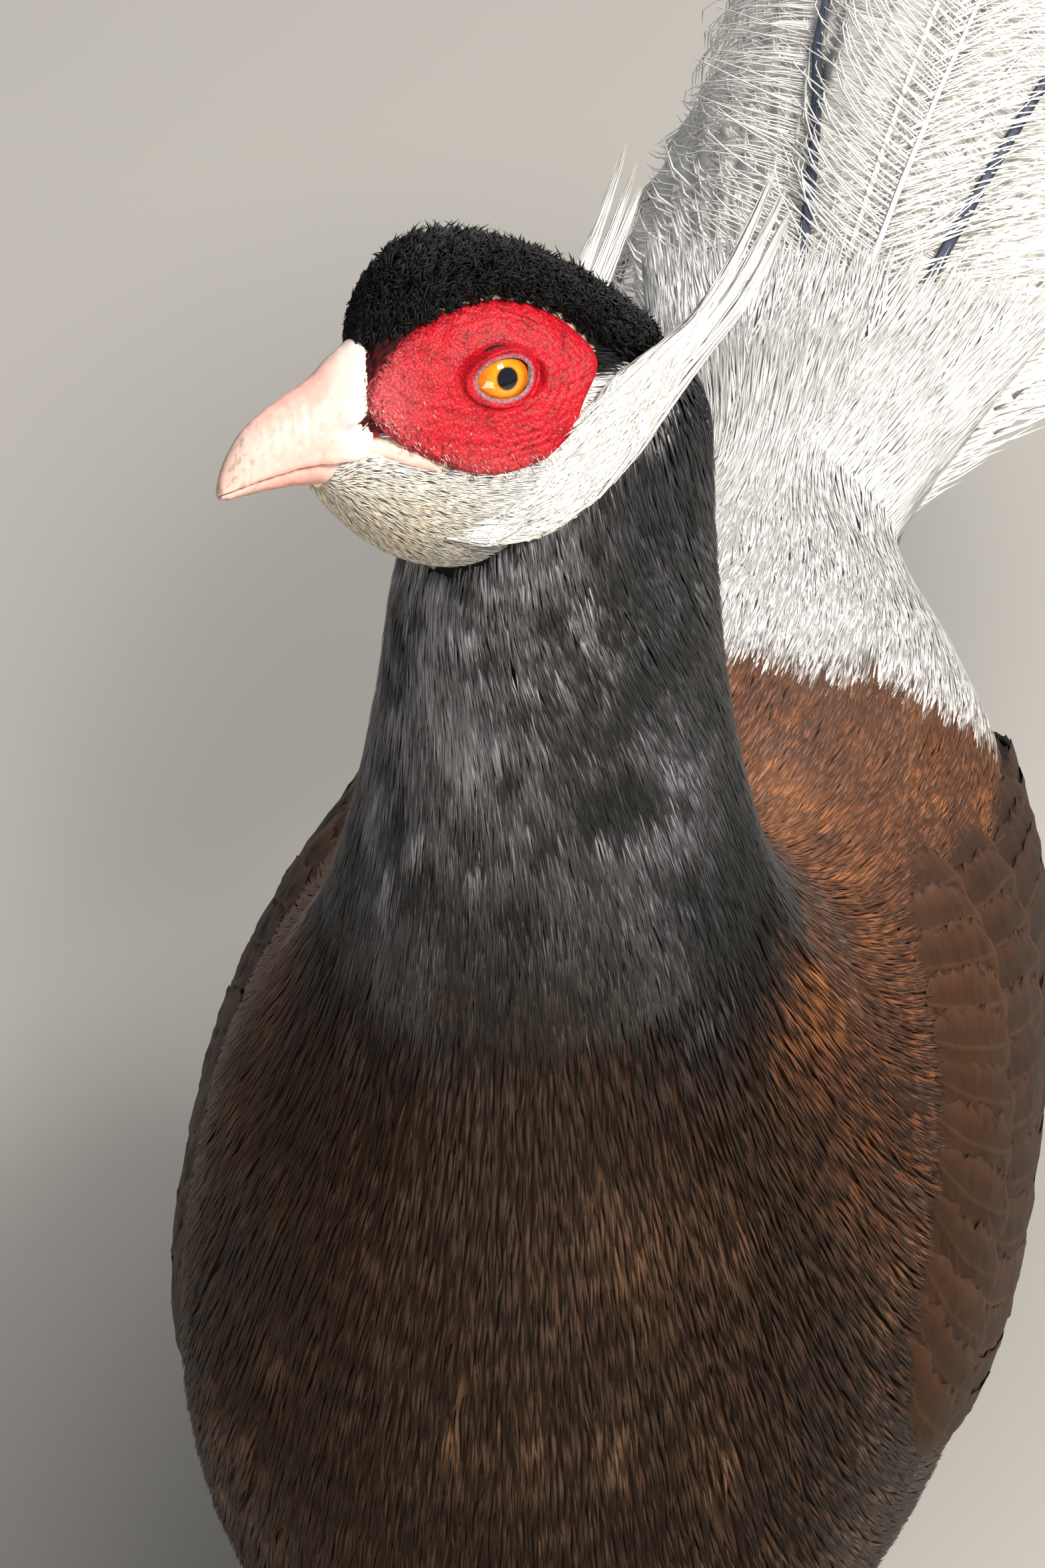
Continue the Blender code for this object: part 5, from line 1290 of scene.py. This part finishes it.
def faceColour(points, ring):
    # ring counts from 0 at the outline through 4 at the lids' foot to 9 in the pocket round the eye
    patches = smoothStep(-0.2, 1.2, softNoise(points, 5, 104))
    colour = mixed(faceColours["scarlet"], faceColours["deep"], patches * 0.5)
    towards = smoothStep(12, 25, points[:, 0]) + 0.5 * smoothStep(-12, -18, points[:, 2])
    colour = mixed(colour, faceColours["pale"], np.clip(towards, 0, 1) * 0.55)
    colour = mixed(colour, faceColours["rim"], smoothStep(0.8, 0.2, ring) * smoothStep(2, 10, points[:, 2]) * 0.7)
    specks = smoothStep(1.15, 1.6, softNoise(points, 1.5, 105) + softNoise(points, 0.9, 106) * 0.7)
    specks = specks * smoothStep(0.2, 0.8, ring) * smoothStep(4.4, 3.6, ring)
    colour = mixed(colour, faceColours["speck"], specks * 0.8)
    colour = mixed(colour, faceColours["lid"], smoothStep(6.0, 7.0, ring) * 0.85)
    # the lids' inner edge and the pocket behind them are painted near black: painted shade in the recess round the
    # eye
    return mixed(colour, faceColours["pocket"], smoothStep(7.6, 8.4, ring))


def makeFace(side, word):
    line = closedCurve(faceOutline, faceSpec["around"])
    turns = np.arctan2(line[:, 1], line[:, 0])
    wide, high = faceSpec["lid"]
    ovals = np.arctan2(np.sin(turns) / high, np.cos(turns) / wide) + faceSpec["slant"]
    control = []
    for share, proud in faceSpec["outer"]:
        x, z = line[:, 0] * share, line[:, 1] * share
        control.append(np.stack([x, headSide(x, z) + proud, z], axis=-1))
    for scale, lift in faceSpec["lids"]:
        x, z = lidPlace(ovals, scale)
        y = headSide(x, z) + 0.9 if lift is None else onEye(x, z, lift)
        control.append(np.stack([x, y, z], axis=-1))
    x, z = lidPlace(ovals, 1.0)
    reach = faceSpec["pocket"] / np.hypot(x, z)
    control.append(np.stack([x * reach, onEye(x * reach, z * reach, 0.35), z * reach], axis=-1))
    control = np.array(control)
    places = np.concatenate([np.linspace(0, 3, 34, endpoint=False), np.linspace(3, 4, 14, endpoint=False),
                             np.linspace(4, 9, 26)])
    flat = readRows(control.reshape(len(control), -1), places).reshape(-1, 3)
    ringAt = np.repeat(places, faceSpec["around"])
    # knobs all over the bare skin, arched folds behind the eye and fine lines round the lids
    bare = smoothStep(0.1, 0.6, ringAt) * smoothStep(5.6, 4.4, ringAt)
    knobs = softNoise(flat, 1.7, 101) * 0.6 + softNoise(flat, 1.0, 102) * 0.5
    radius = np.hypot(flat[:, 0], flat[:, 2] * 1.1)
    behind = smoothStep(3, -4, flat[:, 0]) * smoothStep(5.6, 8, radius) * smoothStep(19, 12, radius)
    folds = np.sin(radius * 2 * math.pi / 1.5 + softNoise(flat, 9, 103) * 1.3) * behind
    lines = np.sin(radius * 2 * math.pi / 0.75) * smoothStep(4.2, 4.6, ringAt) * 0.4
    flat[:, 1] += bare * (faceSpec["knob"] * knobs + faceSpec["wrinkle"] * folds) + faceSpec["wrinkle"] * lines
    reach = (faceSpec["pocket"] + 0.05) / np.hypot(x, z)
    pocket = np.stack([x * reach, 0 * x + faceSpec["eyeY"] + 0.4, z * reach], axis=-1)
    back = np.stack([line[:, 0], headSide(line[:, 0], line[:, 1]) - faceSpec["back"], line[:, 1]], axis=-1)
    points = np.vstack([flat, pocket, back])
    colour = faceColour(points, np.concatenate([ringAt, np.full(len(pocket), 9.0), np.zeros(len(back))]))
    triangles = loopTriangles(len(places) + 2, faceSpec["around"], closed=True)[:, ::-side]
    piece = buildMesh(f"face{word}", fromHead(mirrored(points, side)), triangles, faceMaterial, colour)
    mount(piece, "bare_red_skin", f"face_{word.lower()}")


for side, word in sides:
    makeFace(side, word)
print("faces built")

# short bristles, dark and white, thickest at the front and lower edges of the bare skin
bristleSpec = {"count": 600, "length": 1.0, "half": 0.00007, "dark": "#2a1a1b", "light": "#d9cfc6"}
coat = defaultdict(list)
for side, _ in sides:
    dice = np.random.default_rng(107 + side)
    count = bristleSpec["count"]
    line = closedCurve(faceOutline, 1400)[dice.integers(0, 1400, count * 4)]
    line = line[line[:, 0] - 0.4 * line[:, 1] > dice.uniform(-16, 20, count * 4)][:count]
    flat = line * (1.02 - np.minimum(dice.exponential(0.10, len(line)), 0.4))[:, None]
    flat += dice.normal(0, 0.3, flat.shape)
    roots = np.stack([flat[:, 0], headSide(flat[:, 0], flat[:, 1]) + 0.9, flat[:, 1]], axis=-1)
    way = unit(np.stack([dice.normal(middle, wide, len(line))
                         for middle, wide in ((-0.5, 0.4), (0.75, 0.2), (-0.3, 0.4))], axis=-1))
    shares = np.linspace(0, 1, 3)[None, :, None]
    length = dice.uniform(0.6, 1.2, len(line))[:, None, None]
    spots = roots[:, None] + way[:, None] * shares * bristleSpec["length"] * length
    spots[..., 2] -= shares[..., 0] ** 2 * 0.4
    dark = (dice.uniform(0, 1, len(line)) < np.where(flat[:, 1] < -4, 0.65, 0.98))[:, None, None]
    colours = np.where(dark, toLinear(bristleSpec["dark"]), toLinear(bristleSpec["light"])) + 0 * spots
    centres = fromHead(mirrored(spots, side))
    outward = np.broadcast_to(unit(headTurn @ np.array((0.0, 0.4 * side, 1.0))), centres.shape)
    where = np.stack([flat[:, 0] / 60 + 0.5, flat[:, 1] / 60 + 0.5], axis=-1)
    addStrands(coat, centres, outward, bristleSpec["half"], bristleSpec["half"], colours, np.clip(where, 0, 1))
finishCoat("faceBristles", coat, "velvet")


# Eyes: a wet globe with a low cornea, which gives a sharp highlight over the grain of the iris

eyeMaterial, tree, shader = newMaterial("wetEyeWithOrangeIris", {"Roughness": 0.04, "Coat Weight": 1.0,
                                                                 "Coat Roughness": 0.02})
grain = textureNode(tree, "ShaderNodeTexNoise", 0.5, {"Detail": 4.0})["Fac"]
tintNode(tree, shader, attributeNode(tree, "coatColour")["Color"], rangeNode(tree, grain, (0.35, 0.65), 0.8, 1.15))

# sizes in mm
eyeSpec = {"around": 96, "rim": 6.2, "cornea": 0.35, "deep": 1.0}
eyeColours = linearColours({
    "inner": "#e4860c", "outer": "#d26606", "limbus": "#6d3206", "pupilEdge": "#5a2c08", "pupil": "#070a14",
    "back": "#2a1410"})
for side, word in sides:
    size, rim, middle = eyeSpec["around"], eyeSpec["rim"], faceSpec["eyeY"] + eyeSpec["deep"]
    radii = np.concatenate([np.linspace(0.01, 2.0, 12), np.linspace(2.05, 2.3, 6), np.linspace(2.4, rim, 34)])
    turns = circle(size)
    reach, turn = (grid.ravel() for grid in np.meshgrid(radii, turns, indexing="ij"))
    y = (faceSpec["eyeY"] + np.sqrt(faceSpec["eyeRadius"] ** 2 - reach**2)
         + eyeSpec["cornea"] * smoothStep(5.4, 3.0, reach))
    front = np.stack([reach * np.cos(turn), y, reach * np.sin(turn)], axis=-1)
    rays = np.sin(turn * 37 + 2 * np.sin(turn * 5)) * 0.5 + np.sin(turn * 61 + 1.3) * 0.3
    colour = mixed(eyeColours["inner"], eyeColours["outer"], smoothStep(2.8, 5.0, reach + rays * 0.35))
    colour = mixed(colour, eyeColours["limbus"], smoothStep(5.3, 5.8, reach) * 0.9)
    colour = mixed(colour, eyeColours["pupilEdge"], smoothStep(2.6, 2.25, reach) * 0.7)
    colour = mixed(colour, eyeColours["pupil"], smoothStep(2.26, 2.12, reach + rays * 0.03))
    back = np.stack([rim * np.cos(turns), np.full(size, middle), rim * np.sin(turns)], axis=-1)
    points = mirrored(np.vstack([front, back, (0, y[0], 0), (0, middle, 0)]), side)
    colour = np.vstack([colour, np.tile(eyeColours["back"], (size, 1)), eyeColours["pupil"], eyeColours["back"]])
    triangles = loopTriangles(len(radii) + 1, size)[:, ::side]
    mount(buildMesh(f"eye{word}", fromHead(points), triangles, eyeMaterial, colour), "orange_iris",
          f"eye_{word.lower()}")


# Bill: two halves of pink horn with a swollen whitish base, and the fleshy strip at the mouth. Light
# sinks a little into the horn, and flakes 1.6 mm wide keep its surface from being even

billMaterial, tree, shader = newMaterial("pinkBillHorn", {
    "Roughness": 0.42, "IOR": 1.54, "Subsurface Weight": 0.15, "Subsurface Radius": (0.003, 0.0012, 0.001)})
flakes = textureNode(tree, "ShaderNodeTexNoise", 1.6, {"Detail": 6.0, "Roughness": 0.65})["Fac"]
tintNode(tree, shader, attributeNode(tree, "coatColour")["Color"], rangeNode(tree, flakes, (0.3, 0.7), 0.86, 1.06))
bumpNode(tree, shader, flakes, 0.35, 0.0003)

# sizes in mm; slit and fold of the nostril: x, z, half length, half height, power of the fade, depth
billSpec = {"rings": 90, "arc": 56, "floor": 14, "lowerWidth": 0.82, "gap": 0.15,
            "slit": (27.3, -10.6, 2.9, 0.75, 4, 1.15), "fold": (27.0, -8.2, 4.0, 1.7, 2, 0.55),
            "stripRings": 60, "stripAround": 28, "stripDeep": 1.7}
billColours = linearColours({
    "pink": "#d7a298", "base": "#e0cec6", "tip": "#c6b3aa", "dirt": "#85786e", "fold": "#8b94a6",
    "strip": "#dcbcb0", "stripRear": "#e0a09a", "stripGrey": "#a6abb8"})


def billColour(points):
    x, z = points[:, 0], points[:, 2]
    colour = mixed(billColours["base"], billColours["pink"], smoothStep(25, 34, x))
    colour = mixed(colour, billColours["tip"], smoothStep(40, 50, x) * 0.7)
    grit = smoothStep(0.2, 1.1, softNoise(points, 2.0, 111) + 0.6 * softNoise(points, 0.8, 112))
    colour = mixed(colour, billColours["dirt"], grit * (0.15 + 0.6 * smoothStep(38, 50, x)) * 0.8)
    fold = np.exp(-((x - 27.0) / 2.6) ** 2 - ((z + 10.6) / 1.2) ** 2)
    return mixed(colour, billColours["fold"], fold * 0.75)


def bulge(points, x, z, long, high, power, depth):
    # a swelling on the bill's side that slopes down forwards
    ahead = points[:, 0] - x
    return depth * np.exp(-(ahead / long) ** power - ((points[:, 2] - z + ahead * 0.35) / high) ** 2)


def mountHorn(name, points, size, colour, side, *nodes):
    points = fromHead(mirrored(closeEnds(points, size), side))
    triangles = turnedOut(points, loopTriangles(len(points) // size, size))
    colour = np.vstack([colour, colour[:1], colour[-1:]])
    mount(buildMesh(name, points, triangles, billMaterial, colour), "pink_horn", *nodes)


def makeBillHalf(upper, name, node):
    rows = billRows if upper else billRows[:-1]
    x, ridge, mouth, low, half = np.moveaxis(readRows(rows, np.linspace(0, len(rows) - 1, billSpec["rings"])), -1, 0)
    wide = half if upper else half * billSpec["lowerWidth"]
    edge = mouth + (billSpec["gap"] if upper else -billSpec["gap"])
    crest = ridge if upper else low
    ring = [np.stack([x, wide * math.cos(a), edge + (crest - edge) * math.sin(a) ** 0.9], axis=-1)
            for a in np.linspace(0, math.pi, billSpec["arc"])]
    ring += [np.stack([x, wide * s, edge + 0 * x], axis=-1) for s in np.linspace(-1, 1, billSpec["floor"])[1:-1]]
    points = np.stack(ring, axis=1).reshape(-1, 3)
    if upper:
        # nostril: a slit under a low swollen fold on each side
        swell = bulge(points, *billSpec["fold"]) - bulge(points, *billSpec["slit"])
        points[:, 1] += np.sign(points[:, 1]) * swell * (points[:, 2] > -16)
    # a swollen base, growth lines towards the tip and a slightly uneven surface
    swollen = smoothStep(30.5, 27.5, points[:, 0] + (points[:, 2] + 8) * 0.3)
    swollen = swollen * (0.75 + 0.25 * softNoise(points, 6, 116))
    growth = np.sin(points[:, 0] * 2 * math.pi / 1.9 + softNoise(points, 8, 113)) * smoothStep(30, 36, points[:, 0])
    centre = np.array((0.0, (points[:, 2].max() + points[:, 2].min()) / 2))
    out = unit(points[:, 1:] - centre)
    taper = smoothStep(52, 49, points[:, 0]) * smoothStep(19.5, 22, points[:, 0])
    points[:, 1:] += out * ((growth * 0.05 + softNoise(points, 3.5, 114) * 0.07 + swollen * upper) * taper)[:, None]
    mountHorn(name, points, len(ring), billColour(points), 1, node)


makeBillHalf(True, "billUpper", "bill_upper")
makeBillHalf(False, "billLower", "bill_lower")

axisX, axisY, axisZ = np.eye(3)
for side, word in sides:
    size = billSpec["stripAround"]
    rows = readRows(gapeRows, np.linspace(0, len(gapeRows) - 1, billSpec["stripRings"]))
    deep = np.minimum(billSpec["stripDeep"], rows[:, 3:])
    points = tube(rows[:, :3], axisY, axisZ, deep, rows[:, 3:], circle(size))
    points = points.reshape(-1, 3)
    points[:, 1:] += (softNoise(points, 2.2, 115) * 0.08)[:, None]
    colour = mixed(billColours["strip"], billColours["stripRear"], smoothStep(20, 12, points[:, 0]) * 0.6)
    colour = mixed(colour, billColours["stripGrey"], np.exp(-((points[:, 0] - 27.0) / 2.4) ** 2) * 0.55)
    mountHorn(f"gape{word}", points, size, colour, side)


# Legs: one scaled skin a side, with horn claws. Dark seams part scales 1.5 mm wide, and stains of
# lighter and darker red run over them; the claws' worn horn is streaked from dark to light

legMaterial, tree, shader = newMaterial("redScutedLegSkin", {
    "Roughness": 0.42, "Subsurface Weight": 0.08, "Subsurface Radius": (0.002, 0.0006, 0.0005)})
scales = textureNode(tree, "ShaderNodeTexVoronoi", 1.5, feature="DISTANCE_TO_EDGE")["Distance"]
seams = rangeNode(tree, scales, (0.0, 0.12), 0.0, 1.0)
stain = textureNode(tree, "ShaderNodeTexNoise", 7, {"Detail": 3.0})["Fac"]
tintNode(tree, shader, twoTone(tree, stain, "#7e211d", "#b03a30"), rangeNode(tree, seams, (0.0, 1.0), 0.6, 1.0))
bumpNode(tree, shader, seams, 0.5, 0.0003)

clawMaterial, tree, shader = newMaterial("wornClawHorn", {"Roughness": 0.4, "IOR": 1.54})
stain = textureNode(tree, "ShaderNodeTexNoise", 2.5, {"Detail": 4.0})["Fac"]
tree.links.new(twoTone(tree, stain, "#3d2f29", "#8a7666"), shader.inputs["Base Color"])
bumpNode(tree, shader, stain, 0.3, 0.0002)

# number and height of the plates down the front and the rear of the shank; height and radius of each
# ring of the foot's pad; length and height of the scutes on a toe
legSpec = {"voxel": 0.00065, "shank": 0.0052, "plates": (24, 0.0009), "rearPlates": (30, 0.0004), "claw": 0.012,
           "pad": ((0.0016, 0.0045, 0.0090, 0.0135, 0.0185), (0.0058, 0.0084, 0.0088, 0.0080, 0.0066)),
           "scutes": (0.0034, 0.0007)}
# turn in degrees from straight ahead, length and radius at the root, how far the root is raised, and
# the share of the toe over which it comes down
toes = {"Inner": (-30, 0.046, 0.0058, 0.0, 0.3), "Middle": (2, 0.062, 0.0062, 0.0, 0.3),
        "Outer": (34, 0.048, 0.0056, 0.0, 0.3), "Hind": (172, 0.024, 0.0048, 0.002, 0.75)}


def addLoft(store, rings):
    points = closeEnds((rings + shift).reshape(-1, 3), rings.shape[1])
    addPart(store, points, turnedOut(points, loopTriangles(*rings.shape[:2])))


def addToe(leg, claws, middle, way, length, thick, raised, fall):
    aside = np.cross(way, axisZ)
    s, around = np.linspace(0, 1, 90), circle(32)
    radius = thick * (1 - 0.30 * s) * (1 + 0.10 * np.cos(s * math.pi * 7))
    rise = (stance["foot"][1] + raised - thick) * (1 - np.minimum(s / fall, 1)) ** 2
    scute = ((s * (length / legSpec["scutes"][0])) % 1)[:, None] ** 1.5 * legSpec["scutes"][1]
    scute = scute * np.clip(np.sin(around), 0, 1) ** 0.5
    centre = middle + way * (0.002 + length * s)[:, None] + np.stack([0 * s, 0 * s, radius * 0.86 + rise], -1)
    full = (radius * np.minimum(1, np.sqrt(np.clip((1.0 - s) / 0.06, 0.15, 1))))[:, None] + scute
    rings = tube(centre, aside, axisZ, full, full, around)
    rings[..., 2] = np.maximum(rings[..., 2], 0.0002)
    addLoft(leg, rings)
    s, around = np.linspace(0, 1, 30), circle(20)
    hook = np.maximum(thick * 0.50 * (1 - s) ** 0.8 + 0.0003, 0.0003)
    lift = np.maximum(thick * 0.62 * (1 - s**1.7) + hook * 0.5 + 0.0002, hook + 0.0006)
    centre = middle + way * (0.0005 + length + legSpec["claw"] * s)[:, None] + np.stack([0 * s, 0 * s, lift], -1)
    rings = tube(centre, aside, axisZ, hook[:, None] * 0.85, hook[:, None], around)
    rings[..., 2] = np.maximum(rings[..., 2], 0.0)
    addLoft(claws, rings)


for side, word in sides:
    leg, claws = defaultdict(list), defaultdict(list)
    x, y = side * stance["x"], -stance["step"] * side
    top = np.array((x, stance["ankle"][0] + y, stance["ankle"][1] + 0.006))
    foot = np.array((x, stance["foot"][0] + y, stance["foot"][1] + 0.004))
    s, turns = np.linspace(0, 1, 150), circle(40)
    front = np.cross(axisX, unit(foot - top))
    radius = legSpec["shank"] + 0.0026 * (1 - np.minimum(s / 0.14, 1)) ** 2 + 0.0018 * np.maximum(s - 0.85, 0) / 0.15
    (plates, plateHigh), (rearPlates, rearHigh) = legSpec["plates"], legSpec["rearPlates"]
    facing, rear = (np.clip(way * np.cos(turns), 0, 1) ** 0.5 for way in (1, -1))
    proud = (((s * plates) % 1)[:, None] ** 1.5 * plateHigh * facing
             + ((s * rearPlates) % 1)[:, None] * rearHigh * rear)
    radius = radius[:, None]
    addLoft(leg, tube(top + (foot - top) * s[:, None], front, axisX, radius * 1.12 + proud,
                      radius * 0.92 + proud * 0.6, turns))
    middle = np.array((x, stance["foot"][0] + y, 0.0))
    heights, reach = (np.array(values)[:, None] for values in legSpec["pad"])
    addLoft(leg, tube(middle + axisZ * heights, axisX, axisY, reach, reach, turns))
    for turn, *toe in toes.values():
        angle = math.radians(turn) * side
        addToe(leg, claws, middle, np.array((math.sin(angle), -math.cos(angle), 0.0)), *toe)
    piece = joinCoat(f"leg{word}", leg, legMaterial)
    remeshed(piece, legSpec["voxel"])
    mount(piece, "red_leg_scale", f"tarsus_{word.lower()}", f"foot_{word.lower()}")
    mount(joinCoat(f"claws{word}", claws, clawMaterial), "dark_claw",
          *[f"claw_{word.lower()}_{name.lower()}" for name in toes])
print("legs built")


# Floor, light and camera

# matte paper: an even ground that takes a soft shadow
floorSpec = {"half": 6, "colour": "#93918d", "roughness": 0.9}
floorMesh = bpy.data.meshes.new("studioFloor")
floorMesh.from_pydata([(x * floorSpec["half"], y * floorSpec["half"], 0)
                       for x, y in ((-1, -1), (1, -1), (1, 1), (-1, 1))], [], [(0, 1, 2, 3)])
floorObject = bpy.data.objects.new("studioFloor", floorMesh)
bpy.context.scene.collection.objects.link(floorObject)
floorMesh.materials.append(newMaterial("matteStudioPaper", {
    "Roughness": floorSpec["roughness"], "Base Color": (*toLinear(floorSpec["colour"]), 1)})[0])

# the camera looks so that a place beside the left eye falls on a pixel of the frame
cameraSpec = {"azimuth": math.radians(11), "elevation": math.radians(25), "distance": 1.53, "lens": 180.0,
              "sensor": 36.0, "clip": 50, "place": (0.0, 18.9, 0.0), "pixel": (757, 567), "frame": (1568, 2352)}
a, e = cameraSpec["azimuth"], cameraSpec["elevation"]
backward = Vector((math.sin(a) * math.cos(e), -math.cos(a) * math.cos(e), math.sin(e)))
rightward = Vector((math.cos(a), math.sin(a), 0))
upward = Vector((-math.sin(a) * math.sin(e), math.cos(a) * math.sin(e), math.cos(e)))
target = Vector(fromHead(np.array(cameraSpec["place"])))
camera = bpy.data.objects.new("photoCamera", bpy.data.cameras.new("photoCamera"))
camera.data.lens, camera.data.sensor_width = cameraSpec["lens"], cameraSpec["sensor"]
(column, row), (wide, high) = cameraSpec["pixel"], cameraSpec["frame"]
camera.data.shift_x = -(column - wide / 2) / high
camera.data.shift_y = (row - high / 2) / high
camera.data.clip_end = cameraSpec["clip"]
turn = Matrix((rightward, upward, backward)).transposed()
camera.matrix_world = Matrix.Translation(target + backward * cameraSpec["distance"]) @ turn.to_4x4()
bpy.context.scene.collection.objects.link(camera)
bpy.context.scene.camera = camera

lightAim = Vector((0, -0.15, 0.35))
lights = {
    "keyLight": {"place": (1.4, -1.45, 2.15), "size": 0.7, "power": 128, "colour": "#fff8ee"},
    "fillLight": {"place": (-2.2, -1.6, 1.0), "size": 2.4, "power": 5, "colour": "#eef2ff"},
    "groundBounce": {"place": (0.1, -1.9, 0.15), "size": 0.9, "power": 18, "colour": "#fff1dc"},
    "rimLight": {"place": (0.9, 1.8, 2.4), "size": 1.2, "power": 105, "colour": "#fffaf4"},
}
for name, spec in lights.items():
    lamp = bpy.data.objects.new(name, bpy.data.lights.new(name, "AREA"))
    lamp.data.energy, lamp.data.size = spec["power"], spec["size"]
    lamp.data.color = toLinear(spec["colour"])
    lamp.location = spec["place"]
    lamp.rotation_euler = (lightAim - Vector(spec["place"])).to_track_quat("-Z", "Y").to_euler()
    bpy.context.scene.collection.objects.link(lamp)
roomSpec = {"colour": "#d9dce2", "strength": 0.36}
world = bpy.data.worlds.new("softRoom")
world.use_nodes = True
backdrop = world.node_tree.nodes["Background"].inputs
backdrop["Color"].default_value = (*toLinear(roomSpec["colour"]), 1)
backdrop["Strength"].default_value = roomSpec["strength"]
bpy.context.scene.world = world
bpy.context.scene.view_settings.view_transform = "Standard"

print("scene ready")
